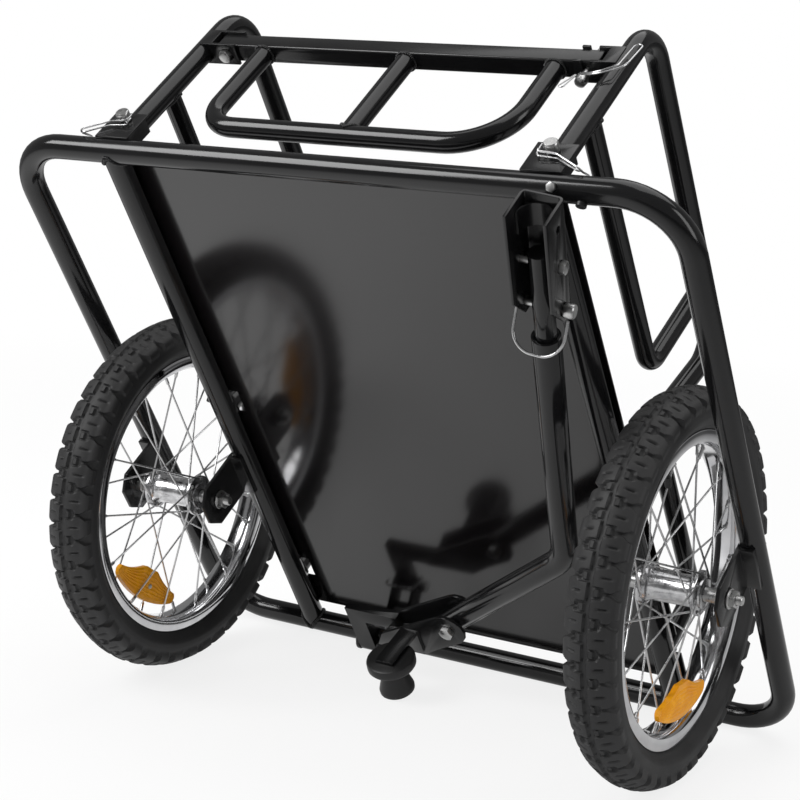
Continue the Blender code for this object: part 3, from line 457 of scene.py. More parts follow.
AROUND, take, give = shape_tree("copies_round_the_axle", {
    "Count": ("Int", 12), "Start angle": ("Float", 0.0)})
points = add(AROUND, "GeometryNodePoints", {"Count": take.outputs["Count"]})
number = add(AROUND, "GeometryNodeInputIndex")
step = math_node(AROUND, "DIVIDE", 2 * math.pi, take.outputs["Count"])
angle = math_node(AROUND, "MULTIPLY_ADD", number.outputs[0], step, take.outputs["Start angle"])
turn = add(AROUND, "ShaderNodeCombineXYZ", {"X": angle})
copies = add(AROUND, "GeometryNodeInstanceOnPoints", {
    "Points": points.outputs[0], "Instance": take.outputs["Geometry"], "Rotation": turn.outputs[0]})
closing_nodes(AROUND, take, give, copies)

RIPPLES, take, give = shape_tree("weld_ripples", {
    "Spacing": ("Float", 0.0018), "Length": ("Float", 0.0015), "Width": ("Float", 0.0026),
    "Seed": ("Int", 3)})
line = add(RIPPLES, "GeometryNodeMeshToCurve", {0: take.outputs["Geometry"]})
even = add(RIPPLES, "GeometryNodeResampleCurve",
           {"Curve": line.outputs[0], "Length": take.outputs["Spacing"]}, mode="LENGTH")
bead = add(RIPPLES, "GeometryNodeMeshUVSphere", {"Segments": 8, "Rings": 6, "Radius": 1.0})
along = add(RIPPLES, "GeometryNodeInputTangent")
aim = add(RIPPLES, "FunctionNodeAlignRotationToVector", {"Vector": along.outputs[0]}, axis="X")
# Sockets 2 and 3 and output 1 of a Random Value node are its plain numbers.
jitter = add(RIPPLES, "FunctionNodeRandomValue", {2: 0.88, 3: 1.12, "Seed": take.outputs["Seed"]},
             data_type="FLOAT")
wide = math_node(RIPPLES, "MULTIPLY", take.outputs["Width"], jitter.outputs[1])
size = add(RIPPLES, "ShaderNodeCombineXYZ", {"X": take.outputs["Length"], "Y": wide, "Z": wide})
beads = add(RIPPLES, "GeometryNodeInstanceOnPoints", {
    "Points": even.outputs[0], "Instance": bead.outputs["Mesh"], "Rotation": aim.outputs[0],
    "Scale": size.outputs[0]})
closing_nodes(RIPPLES, take, give, beads)


def by_nodes(mesh, tree, **values):
    """Runs a tree on a mesh and returns the plain mesh that it makes."""
    holder = unseen(mesh)
    step = holder.modifiers.new("nodes", "NODES")
    step.node_group = tree
    names = {item.name: item.identifier for item in tree.interface.items_tree if item.in_out == "INPUT"}
    for label, value in values.items():
        step[names[label.replace("_", " ")]] = value
    return applied(holder)


test = by_nodes(rod((0, 0, 0.1), (0, 0, 0.11), 0.002), AROUND, Count=5, Start_angle=0.0, Material=ZINC)
print("five copies hold", len(test.polygons), "faces")

# %% [markdown]
# ## Weld seams
# The seam between two tubes is the line where the side of one meets the surface of the
# other. For each point round the branch it is enough to slide along the branch until the
# distance to the middle of the main tube equals that tube's radius.

# %% Find the seam between two tubes
def seam(at, main, main_r, branch, branch_r, steps=40):
    """The closed line where a branch that leaves `at` along `branch` meets the main tube."""
    main, branch = Vector(main).normalized(), Vector(branch).normalized()
    side = branch.cross(main).normalized()
    other = side.cross(branch)
    found = []
    for k in range(steps):
        angle = 2 * math.pi * k / steps
        start = side * (branch_r * math.cos(angle)) + other * (branch_r * math.sin(angle))
        flat = start - main * start.dot(main)
        way = branch - main * branch.dot(main)
        a, b = way.dot(way), 2 * flat.dot(way)
        c = flat.dot(flat) - main_r ** 2
        slide = (-b + math.sqrt(max(b * b - 4 * a * c, 0.0))) / (2 * a)
        found.append(Vector(at) + start + branch * slide)
    return found


WELDS = []
WELD_WIDE, WELD_FINE = 0.0026, 0.0022


def weld(points, width=WELD_WIDE):
    """Lays ripples along a closed line and adds them to the list of welds."""
    count = len(points)
    line = bpy.data.meshes.new("line")
    line.from_pydata([tuple(p) for p in points], [(i, (i + 1) % count) for i in range(count)], [])
    WELDS.append(by_nodes(line, RIPPLES, Width=width, Seed=len(WELDS) + 1, Material=POWDER))


# %% [markdown]
# ## The frame
# One steel tube is bent into the big outer loop that runs outside both wheels. Two straight
# tubes join its rear and front rails and carry the bed. Their ends are shaped to the rails
# and welded all round.

# %% Outer loop and bed side tubes
RAIL_X = 0.372
BED_X = 0.240
loop_corners = [(0, 0, 0), (RAIL_X, 0, 0), (RAIL_X, LOOP_LENGTH, 0), (-RAIL_X, LOOP_LENGTH, 0),
                (-RAIL_X, 0, 0), (0, 0, 0)]
loop_route = rounded(loop_corners, [0.062] * 4)[:-1]
placed("outer_loop_tube", bar(loop_route, TUBE_R, 36, closed=True), POWDER, "frame", "outer_loop")
for side, hand in ((-1, "left"), (1, "right")):
    x = side * BED_X
    tube = rod((x, 0.004, 0), (x, LOOP_LENGTH - 0.004, 0), TUBE_R, 36)
    rails = [rod((x - 0.05, y, 0), (x + 0.05, y, 0), TUBE_R + GAP, 36) for y in (0, LOOP_LENGTH)]
    placed("bed_tube_" + hand, cut(tube, *rails), POWDER, "frame", "bed_side_tube_" + hand)
    weld(seam((x, 0, 0), (1, 0, 0), TUBE_R, (0, 1, 0), TUBE_R + 0.0003))
    weld(seam((x, LOOP_LENGTH, 0), (1, 0, 0), TUBE_R, (0, -1, 0), TUBE_R + 0.0003))
print("the loop is", round(2 * RAIL_X + 2 * TUBE_R, 3), "m wide over its tubes")

# %% [markdown]
# ## The bed panel
# A steel sheet lies on the side tubes. Its CAD shape is already right, so the node stays
# and only gets the dark mirror finish.

# %% Give the CAD panel its finish
def repaint(node, material):
    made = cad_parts[node]
    made.data.materials.clear()
    made.data.materials.append(material)


repaint("floor_panel", PANEL)

# %% [markdown]
# ## The side guards
# Each guard is an arch of tube. Its rear foot sits in a bracket on the rear rail, where a
# clip pin holds it, and its front foot is welded on the bed tube. A thinner tube makes the
# inner loop, and another one runs low to the front.

# %% Guard tubes
GUARD_R, INNER_R = 0.01125, 0.010
GUARD_TOP = 0.2565
INNER_Z = 0.106
SOCKET_WALL = 0.0025
PIN_HEIGHT = TUBE_R + 0.032 * 0.6
PIN_R = 0.004
PIN_HOLE = PIN_R + 0.0004
INNER_Y, INNER_TOP_Y = 0.307, 0.318
LOW_Y, LOW_Z = 0.625, 0.089
for side, hand in ((-1, "left"), (1, "right")):
    x = side * BED_X
    top_front, foot = Vector((x, 0.404, GUARD_TOP)), Vector((x, 0.352, 0))
    down = (foot - top_front).normalized()
    rear_foot = (x, 0, TUBE_R + GAP + SOCKET_WALL + GAP)
    arch = bar(rounded([rear_foot, (x, 0, GUARD_TOP), top_front, foot], [0.040, 0.040]), GUARD_R)
    arch = cut(arch, rod((x, -0.05, PIN_HEIGHT), (x, 0.05, PIN_HEIGHT), PIN_HOLE),
               rod((x, 0.25, 0), (x, 0.45, 0), TUBE_R + GAP, 36))
    placed("guard_arch_tube_" + hand, arch, POWDER, "frame", "guard_arch_" + hand)
    weld(seam(foot, (0, 1, 0), TUBE_R, -down, GUARD_R))

    corners = [(x, 0.002, INNER_Z), (x, INNER_Y, INNER_Z), (x, INNER_TOP_Y, GUARD_TOP - 0.002)]
    inner = cut(bar(rounded(corners, [0.022]), INNER_R),
                rod((x, 0, INNER_Z - 0.03), (x, 0, INNER_Z + 0.03), GUARD_R + GAP),
                rod((x, 0.27, GUARD_TOP), (x, 0.36, GUARD_TOP), GUARD_R + GAP))
    placed("guard_inner_tube_" + hand, inner, POWDER, "frame", "guard_inner_loop_" + hand)
    weld(seam((x, 0, INNER_Z), (0, 0, 1), GUARD_R, (0, 1, 0), INNER_R), WELD_FINE)
    up = (Vector((x, INNER_Y, INNER_Z)) - Vector((x, INNER_TOP_Y, GUARD_TOP))).normalized()
    weld(seam((x, INNER_TOP_Y, GUARD_TOP), (0, 1, 0), GUARD_R, up, INNER_R), WELD_FINE)

    on_upright = foot - down * ((LOW_Z - foot.z) / -down.z)
    low = bar(rounded([on_upright, (x, LOW_Y, LOW_Z), (x, LOW_Y, 0.002)], [0.030]), INNER_R)
    low = cut(low, rod(on_upright - down * 0.04, on_upright + down * 0.04, GUARD_R + GAP),
              rod((x, 0.55, 0), (x, 0.70, 0), TUBE_R + GAP, 36))
    placed("guard_front_tube_" + hand, low, POWDER, "frame", "guard_front_rail_" + hand)
    weld(seam(on_upright, down, GUARD_R, (0, 1, 0), INNER_R), WELD_FINE)
    weld(seam((x, LOW_Y, 0), (0, 1, 0), TUBE_R, (0, 0, 1), INNER_R), WELD_FINE)
print(len(WELDS), "seams welded so far")

# %% [markdown]
# ## Nuts, bolts and threads
# A nut is a hexagon whose corners are cut by a cone, which leaves the small arcs that catch
# the light. It is made ring by ring: each ring follows the hexagon, and the end rings are
# round. A thread shows as close grooves, so its outline simply zigzags.

# %% A hexagon with chamfered corners, a thread and a washer
def hexagon(radius, start, end, bore=0.0, steps=48, both=False):
    """A nut or bolt head along x from start to end, with its far end chamfered."""
    way = 1 if end > start else -1
    thick = abs(end - start)
    inscribed = radius * math.cos(math.pi / 6)
    shape = bmesh.new()

    def ring(level, size):
        made = []
        for k in range(steps):
            angle = 2 * math.pi * k / steps
            local = (angle + math.pi / 6) % (math.pi / 3) - math.pi / 6
            full = inscribed / math.cos(local)
            r = full if size is None else min(full, size) if size > inscribed * 0.98 else size
            drop = (full - inscribed) * 0.7 if size is None else 0.0
            height = thick - drop if level else (drop if both else 0.0)
            made.append(shape.verts.new(polar(start + way * height, r, angle)))
        return made

    rings = [ring(0, inscribed * 0.99), ring(0, None), ring(1, None), ring(1, inscribed * 0.99)]
    if bore:
        rings += [ring(1, bore * 1.12), ring(1, bore), ring(0, bore), ring(0, bore * 1.12)]
        for v in rings[5]:
            v.co.x -= way * bore * 0.12
    bridge(shape, rings + rings[:1] if bore else rings)
    if not bore:
        shape.faces.new(rings[0])
        shape.faces.new(rings[-1])
    return as_mesh("hexagon", shape)


def thread(start, end, radius, pitch=0.00125, steps=24):
    """A threaded end along x, as an outline of grooves with a chamfered tip."""
    way = 1 if end > start else -1
    turns = int(abs(end - start) / pitch)
    outline = [(start, 0.0), (start, radius)]
    for k in range(turns):
        at = start + way * pitch * k
        outline += [(at + way * pitch * 0.5, radius * 0.90), (at + way * pitch, radius)]
    outline += [(end, radius * 0.82), (end, 0.0)]
    return turned(outline, steps)


def washer(start, end, radius, bore):
    low, high = sorted((start, end))
    edge = 0.0003
    return turned([(low, bore), (low, radius - edge), (low + edge, radius), (high - edge, radius),
                   (high, radius - edge), (high, bore)], 48)


# %% [markdown]
# ## Sheet metal brackets
# Brackets are cut and folded from plate. Their CAD shapes are right, so each one is copied,
# its doubled points are merged, and every edge gets a small round, which is what makes
# folded steel look like steel.

# %% Soften the folded brackets
def pressed(name, node, body, width=0.0007, material=PLATE):
    return placed(name, softened(cad_copy(node), width, 2), material, body, node)


for hand in ("left", "right"):
    pressed("guard_socket_plate_" + hand, "guard_socket_" + hand, "frame")
    pressed("gate_bracket_plate_" + hand, "gate_bracket_" + hand, "frame", 0.0005)
    pressed("inner_axle_plate_" + hand, "inner_bracket_" + hand, "frame")
    pressed("outer_axle_plate_" + hand, "outer_bracket_" + hand, "frame")
pressed("fold_bracket", "front_bracket", "frame")
pressed("arm_fork", "arm_yoke", "fork")
print("brackets softened")

# %% [markdown]
# ## The tail gate
# A square bar closes the rear. It turns on a bolt at one end and is held by a clip pin at
# the other. A bent tube and a short middle bar are welded under it to fill the opening.

# %% Gate bar, loop and bolts
CROSSBAR_Z = 0.188
HALF_BAR = 0.010
GATE_R = 0.01025
EAR, PAST_BOLT, PLAY = 0.003, 0.0115, 0.002
GATE_BOLT_X = BED_X - GUARD_R - EAR - math.hypot(HALF_BAR, PAST_BOLT) - PLAY
end = GATE_BOLT_X + PAST_BOLT
z0, z1 = CROSSBAR_Z - HALF_BAR, CROSSBAR_Z + HALF_BAR
outer = [(-HALF_BAR, z0), (HALF_BAR, z0), (HALF_BAR, z1), (-HALF_BAR, z1)]
square = softened(slab(outer, -end, end, "X"), 0.0018, 3, 60)
wall = 0.0015
hollow = block((-end - 0.01, -HALF_BAR + wall, z0 + wall), (end + 0.01, HALF_BAR - wall, z1 - wall))
holes = [rod((x, 0, z0 - 0.01), (x, 0, z1 + 0.01), PIN_HOLE) for x in (-GATE_BOLT_X, GATE_BOLT_X)]
placed("gate_bar", cut(square, hollow, *holes), PLATE, "gate", "gate_crossbar")

GATE_LEFT, GATE_RIGHT, GATE_BOTTOM, GATE_BAR_X = -0.162, 0.174, 0.052, 0.009
tube_top = z0 - GAP
gate_corners = [(GATE_LEFT, 0, tube_top), (GATE_LEFT, 0, GATE_BOTTOM), (GATE_RIGHT, 0, GATE_BOTTOM),
                (GATE_RIGHT, 0, tube_top)]
gate_tube = bar(rounded(gate_corners, [0.036, 0.062], 16), GATE_R)
below = rod((GATE_BAR_X - 0.05, 0, GATE_BOTTOM), (GATE_BAR_X + 0.05, 0, GATE_BOTTOM), GATE_R + 0.0001)
middle_bar = cut(rod((GATE_BAR_X, 0, tube_top), (GATE_BAR_X, 0, GATE_BOTTOM + 0.002), GATE_R), below)
placed("gate_tubes", together(gate_tube, middle_bar), POWDER, "gate", "gate_loop")

frame_welds = len(WELDS)
for x in (GATE_LEFT, GATE_RIGHT, GATE_BAR_X):
    around = [polar(0, GATE_R, 2 * math.pi * k / 40) for k in range(40)]
    weld([(x + p.y, max(-HALF_BAR, min(HALF_BAR, p.z)), z0 - 0.0004) for p in around], WELD_FINE)
weld(seam((GATE_BAR_X, 0, GATE_BOTTOM), (1, 0, 0), GATE_R, (0, 0, 1), GATE_R), WELD_FINE)
placed("gate_welds", together(*WELDS[frame_welds:]), POWDER, "gate", crease=80)
del WELDS[frame_welds:]

under, over = z0 - GAP - EAR - GAP, z1 + GAP + EAR + GAP
bolt = together(hexagon(0.0075, 0, 0.0055), thread(0.0, -(over - under) - 0.011, PIN_R, 0.001))
placed("gate_hinge_bolt", moved(bolt, (-GATE_BOLT_X, 0, under), (0, 0, -1)), ZINC, "frame", "gate_bolt_left")
nut = hexagon(0.0075, 0, 0.006, PIN_R + GAP, both=True)
placed("gate_hinge_nut", moved(nut, (-GATE_BOLT_X, 0, over), (0, 0, 1)), ZINC, "frame", "gate_nut_left")
print("the gate swings on a bolt at x =", round(-GATE_BOLT_X, 4))

# %% [markdown]
# ## Clip pins with their wire bails
# A clip pin is a short steel pin with a drum-shaped head. A springy wire starts at the head,
# runs round the tube and snaps over the pin's tip, so the pin can't fall out. The wire is
# bent double like a hairpin, so two strands run side by side.

# %% Pins and wires
WIRE_R = 0.0009


def pin_shape(length, head=0.011):
    """A clip pin along x: its drum-shaped head ends at 0 and its shank runs to length."""
    drum = [(-1.0, 0.0), (-1.0, 1.5), (-0.92, 1.72), (-0.80, 1.78), (-0.20, 1.78), (-0.06, 1.70),
            (0.0, 1.5), (0.0, 1.0)]
    outline = [(head * x, PIN_R * r) for x, r in drum]
    outline += [(length - 0.003, PIN_R), (length - 0.0012, PIN_R * 0.85), (length, PIN_R * 0.45), (length, 0)]
    return turned(outline, 32)


def strands(route, start, end, radius, level=(0.3, 0.2, 1)):
    """A wire that runs out and back beside a route. Its two strands are start apart, then end."""
    route = [Vector(p) for p in route]
    last = len(route) - 1
    out, home = [], []
    for i, point in enumerate(route):
        way = (route[min(i + 1, last)] - route[max(i - 1, 0)]).normalized()
        side = way.cross(Vector(level)).normalized() * (start + (end - start) * (i / last) ** 1.5)
        out.append(point + side)
        home.append(point - side)
    turn = [route[-1] + side * math.cos(a) + way * end * math.sin(a) for a in (0.5, 1.05, 1.57, 2.09, 2.64)]
    return bar(out + turn + home[::-1], radius, 10)


for side, hand in ((-1, "left"), (1, "right")):
    x = side * BED_X
    back = -(GUARD_R + 2 * GAP + SOCKET_WALL) - GAP
    pin = moved(pin_shape(GUARD_R + 2 * GAP + 0.006 - back), (x, back, PIN_HEIGHT), (0, 1, 0))
    placed("guard_pin_" + hand, pin, ZINC, "clip_" + hand, "clip_pin_" + hand)
    beside, behind, low = -back - GAP + 0.024, back + GAP - 0.004, PIN_HEIGHT - 0.0108
    eye = back - 0.0055
    corners = [(-0.0100, eye, PIN_HEIGHT), (-0.0100, eye, low), (0.010, behind, low),
               (beside, behind, low - 0.017), (beside, behind + 0.014, low - 0.005)]
    route = rounded([(x + side * a, y, z) for a, y, z in corners], [0.003, 0.006, 0.004], 6)
    placed("guard_pin_wire_" + hand, strands(route, 0.0026, 0.0012, WIRE_R), SPOKE_WIRE, "clip_" + hand,
           "clip_wire_" + hand)

head = [(0.019, 0), (0.019, 0.0034), (0.0178, 0.0056), (0.012, 0.0062), (0.008, 0.0052), (0.008, PIN_R)]
tip = over - under + 0.010
shank = [(0.003 - tip, PIN_R), (0.0012 - tip, PIN_R * 0.85), (-tip, PIN_R * 0.45), (-tip, 0)]
gate_pin = moved(turned(head + shank, 32), (GATE_BOLT_X, 0, under), (0, 0, -1))
placed("gate_pin", gate_pin, ZINC, "gate", "gate_clip_pin")
corners = [(GATE_BOLT_X, -0.0080, under - 0.014), (0.2320, -0.0185, 0.1470), (0.2530, -0.0185, 0.1600),
           (0.2556, -0.0170, 0.1940)]
bail = strands(rounded(corners, [0.018, 0.016], 8), 0.0011, 0.0042, WIRE_R, (0, 1, 0))
tail_at = Vector((GATE_BOLT_X - 0.002, -0.0090, under - 0.018))
tail_way = Vector((-0.30, -0.05, -0.95))
tail_route = [tail_at + tail_way * s for s in (0.0, 0.004, 0.010, 0.016, 0.020)]
tail = strands(tail_route, 0.0006, 0.0028, 0.0007, (0, 1, 0))
placed("gate_pin_wire", together(bail, tail), SPOKE_WIRE, "gate", "gate_clip_wire")
print("three clip pins made")

# %% [markdown]
# ## Axles
# Each wheel hangs between two plates on a threaded axle, with a spacer, a cone and a
# flanged nut on each side.

# %% Axles, spacers and nuts
WHEEL_X = 0.306
AXLE_R = 0.0049
PLATE_THICK = 0.004        # of the axle's brackets
HUB_END = 0.0345           # where the spacers meet the hub, from the wheel's middle
for side, hand in ((-1, "left"), (1, "right")):
    at = (0, AXLE_Y, AXLE_Z)
    inner_face = BED_X + TUBE_R * 0.55
    outer_face = RAIL_X - TUBE_R * 0.55
    shaft = [rod((side * (inner_face - 0.001), *at[1:]), (side * (outer_face + 0.001), *at[1:]), AXLE_R)]
    ends = [(inner_face + PLATE_THICK, WHEEL_X - HUB_END, 1),
            (outer_face - PLATE_THICK, WHEEL_X + HUB_END, -1)]
    for face, hub, way in ends:
        spacer = [(face + way * GAP, 0.005), (face + way * GAP, 0.009), (face + way * 0.006, 0.009),
                  (face + way * 0.0065, 0.0075), (hub, 0.0075), (hub, 0.005)]
        shaft.append(moved(turned([(side * x, r) for x, r in spacer]), at))
    for face, way in ((inner_face, -1), (outer_face, 1)):
        shaft.append(moved(thread(side * face, side * (face + way * 0.0145), AXLE_R), at))
    placed("axle_rod_" + hand, together(*shaft), ZINC, "frame", "axle_" + hand)
    for face, way, label in ((inner_face, -1, "inner"), (outer_face, 1, "outer")):
        start = face + way * GAP
        flange = start + way * 0.0016
        nut = together(washer(side * start, side * flange, 0.0105, 0.0053),
                       hexagon(0.0095, side * flange, side * (start + way * 0.0082), 0.0053))
        placed(f"axle_nut_{label}_side_{hand}", moved(nut, at), ZINC, "frame", f"axle_nut_{label}_{hand}")
print("four axle nuts in place")

# %% [markdown]
# ## Wheels: the tyre
# The tyre's section is nearly round. A wavy groove runs round its middle. On both sides of
# it sit broad scalloped lugs with a short slot, small blocks fill the gaps between them, and
# the lugs end in teeth on the shoulder. All of this is one height that depends on the angle
# round the section and the distance round the wheel, so one lug's length of the tyre is
# drawn as a grid and the node tree repeats it.

# %% The height of the tread at any place
SECTION_R = 0.1775         # middle of the tyre's section
HALF_WIDE, HALF_TALL = 0.0252, 0.0205
LUGS = 44
PITCH = 2 * math.pi * WHEEL_R / LUGS


def ease(value, start, end):
    """0 before start, 1 after end and a soft step between them."""
    s = min(1.0, max(0.0, (value - start) / (end - start)))
    return s * s * (3 - 2 * s)


def lug_height(lean, along):
    """The tread's height over the section, for a lug whose middle is at along = 0."""
    t = abs(along - PITCH * round(along / PITCH))
    half = 0.0088 + 0.0042 * ease(lean, 24, 31) - 0.0040 * ease(lean, 40, 60)
    lug = ease(half - t, -0.0009, 0.0007) * ease(lean - 160 * t - 5000 * t * t, 2.0, 6.0)
    slot = ease(0.0010 - t, -0.0004, 0.0004) * ease(lean, 18, 21) * (1 - ease(lean, 38, 42))
    gap = PITCH / 2 - t
    small = ease(0.0038 - gap, -0.0008, 0.0007) * ease(lean, 6.0, 9.0) * (1 - ease(lean, 17, 21))
    tall = 0.0035 + 0.0014 * ease(lean, 38, 54)
    return tall * (1 - ease(lean, 56, 80)) * max(lug - 0.6 * slot, 0.75 * small)


# %% One lug's length of tyre, repeated round the wheel
def on_tyre(lean, along, height):
    """A point of the tyre: lean in degrees round its section, along in metres round the wheel."""
    a = math.radians(lean)
    r = SECTION_R + (HALF_TALL + height) * math.cos(a)
    turn = along / WHEEL_R
    return Vector(((HALF_WIDE + height) * math.sin(a), r * math.sin(turn), r * math.cos(turn)))


def tyre_section(along):
    """The closed section of the tyre at one place, from one bead over the tread to the other."""
    ring = []
    for k in range(-27, 28):
        lean = k * 90 / 27
        shifted = along if k > 0 else along + PITCH / 2
        ring.append(on_tyre(lean, along, lug_height(abs(lean), shifted)))
    wall = [(98, 0.0), (106, 0.0006), (112, 0.0), (121, 0.0006), (132, 0.0)]
    right = [on_tyre(lean, along, h) for lean, h in wall]
    left = [on_tyre(-lean, along, h) for lean, h in wall]
    turn = along / WHEEL_R
    bead = [(0.0185, 0.1625), (0.0152, 0.1602), (0.0148, 0.1540), (-0.0148, 0.1540), (-0.0152, 0.1602),
            (-0.0185, 0.1625)]
    return ring + right + [Vector((x, r * math.sin(turn), r * math.cos(turn))) for x, r in bead] + left[::-1]


def whole_tyre(steps=28):
    shape = bmesh.new()
    bridge(shape, [[shape.verts.new(p) for p in tyre_section(PITCH * (i / steps - 0.5))]
                   for i in range(steps + 1)])
    piece = by_nodes(as_mesh("lug_length", shape), AROUND, Count=LUGS, Start_angle=0.0, Material=TYRE)
    shape = bmesh.new()
    shape.from_mesh(piece)
    bmesh.ops.remove_doubles(shape, verts=shape.verts, dist=1e-5)
    return as_mesh("tyre", shape)


tyre_mesh = whole_tyre()
print(LUGS, "lugs, one every", round(PITCH * 1000, 1), "mm, in", len(tyre_mesh.polygons), "faces")

# %% [markdown]
# ## Wheels: rim, hub and spokes
# The rim is a chromed steel hoop with rolled edges. The hub has two flanges, and the
# spokes cross on their way to the rim. Their pattern repeats every four spokes, so four are
# modelled with their heads and nipples and seven copies of that set make the wheel.

# %% Rim, hub shell and a set of four spokes
RIM_R, RIM_INNER_R, RIM_HALF = 0.1595, 0.1435, 0.017
SPOKES = 28


def rim_shape():
    outline = [(-0.0070, RIM_INNER_R), (0.0070, RIM_INNER_R), (0.0125, RIM_INNER_R + 0.0012),
               (0.0160, RIM_INNER_R + 0.0040), (RIM_HALF, RIM_INNER_R + 0.0075), (RIM_HALF, RIM_R - 0.0010),
               (RIM_HALF - 0.0004, RIM_R), (RIM_HALF - 0.0014, RIM_R), (RIM_HALF - 0.0018, RIM_R - 0.0010),
               (RIM_HALF - 0.0018, RIM_INNER_R + 0.009)]
    outline += [(-x, r) for x, r in outline[::-1]][:-2]
    return turned(outline, 160)


def hub_shape():
    half = [(0.0, 0.0158), (0.0195, 0.0158), (0.0235, 0.0166), (0.0262, 0.0185), (0.0270, 0.0222),
            (0.0276, 0.0228), (0.0302, 0.0228), (0.0308, 0.0222), (0.0312, 0.0180), (0.0318, 0.0155),
            (0.0338, 0.0150), (0.0340, 0.0145), (0.0340, 0.0082)]
    return turned([(-x, r) for x, r in reversed(half)] + half[1:], 72)


FLANGE_X, FLANGE_HALF, FLANGE_R = 0.0289, 0.0030, 0.0195
HEAD = [(-0.0008, 0), (-0.0008, 0.0014), (0, 0.0021), (0.0007, 0.0017), (0.0010, 0)]
NIPPLE = [(-0.002, 0), (-0.002, 0.0026), (0.0010, 0.0026), (0.0012, 0.0018), (0.0110, 0.0018),
          (0.0120, 0.0012), (0.0120, 0)]


def spoke_set():
    made = []
    for k in range(4):
        side = -1 if k % 2 else 1
        lead = 1 if (k // 2) % 2 else -1
        rim_angle = 2 * math.pi * k / SPOKES
        hub_angle = rim_angle + lead * math.radians(62)
        head = polar(side * (FLANGE_X + lead * FLANGE_HALF), FLANGE_R, hub_angle)
        elbow = polar(side * (FLANGE_X - lead * FLANGE_HALF), FLANGE_R, hub_angle)
        end = polar(side * 0.003, RIM_INNER_R + 0.0005, rim_angle)
        made.append(bar(rounded([head, elbow, end], [0.0016], 5), 0.00105, 10))
        made.append(moved(turned(HEAD, 12), head, (side * lead, 0, 0)))
        made.append(moved(turned(NIPPLE, 12), end, (elbow - end).normalized()))
    return together(*made)


one_set = spoke_set()
print("a set of four spokes holds", len(one_set.polygons), "faces")

# %% [markdown]
# ## Wheels: reflectors and valves
# A reflector is a curved amber lens clipped between the spokes. Its face is moulded in small
# prisms, made here by pulling the middle of each cell of a grid inwards.

# %% Reflector and valve
LENS_R, LENS_SPAN, LENS_HALF = 0.131, math.radians(27), 0.0040
LENS_INNER = [(0.0, 0.725), (0.25, 0.725), (0.75, 0.855), (1.0, 0.918)]


def lens_inner(t):
    """The lens's inner edge, as a part of its outer radius, at t from its middle to its end."""
    for (t0, r0), (t1, r1) in zip(LENS_INNER, LENS_INNER[1:]):
        if t <= t1:
            return r0 + (r1 - r0) * (t - t0) / (t1 - t0)
    return LENS_INNER[-1][1]


def reflector_shape(middle_angle, beside):
    across, up = 44, 8
    shape = bmesh.new()
    sides = []
    for way in (-1, 1):
        grid = []
        for i in range(across + 1):
            t = abs(-1 + 2 * i / across)
            a = middle_angle + LENS_SPAN * (-1 + 2 * i / across)
            inner = LENS_R * lens_inner(t)
            outer = LENS_R - 0.0040 * max(0.0, (t - 0.90) / 0.10) ** 2
            half = LENS_HALF * (1.0 - 0.3 * t ** 6)
            grid.append([])
            for j in range(up + 1):
                r = inner + (outer - inner) * j / up
                bulge = 1.0 - 0.25 * abs(2 * j / up - 1) ** 4
                grid[-1].append(shape.verts.new(polar(beside + way * half * bulge, r, a)))
        cells = [shape.faces.new((grid[i][j], grid[i + 1][j], grid[i + 1][j + 1], grid[i][j + 1]))
                 for i in range(across) for j in range(up)]
        inside = [f for n, f in enumerate(cells) if 1 <= n % up < up - 1 and up <= n < len(cells) - up]
        for v in bmesh.ops.poke(shape, faces=inside)["verts"]:
            v.co.x -= way * 0.0005
        sides.append(grid)
    one, two = sides
    edge = [(i, 0) for i in range(across)] + [(across, j) for j in range(up)]
    edge += [(i, up) for i in range(across, 0, -1)] + [(0, j) for j in range(up, 0, -1)]
    for n, (i, j) in enumerate(edge):
        k, m = edge[(n + 1) % len(edge)]
        shape.faces.new((one[i][j], one[k][m], two[k][m], two[i][j]))
    return as_mesh("reflector", shape)


def lens_rivet(middle_angle, beside):
    """The pale rivet near the middle of the lens."""
    cap = turned([(0.0030, 0), (0.0052, 0.0012), (0.0050, 0.0024), (0.0040, 0.0030), (-0.0040, 0.0030),
                  (-0.0040, 0)], 20)
    return moved(cap, polar(beside, LENS_R * 0.87, middle_angle + LENS_SPAN * 0.08))


def valve_shape(away):
    """A valve whose stem points from the rim to the axle."""
    stem = turned([(-0.006, 0), (-0.006, 0.0042), (0.001, 0.0042), (0.003, 0.0030), (0.022, 0.0026),
                   (0.0225, 0.0022), (0.026, 0.0022), (0.0262, 0.0034), (0.036, 0.0034), (0.037, 0.0028),
                   (0.037, 0)], 24)
    return moved(stem, away * (RIM_INNER_R + 0.0045), -away)


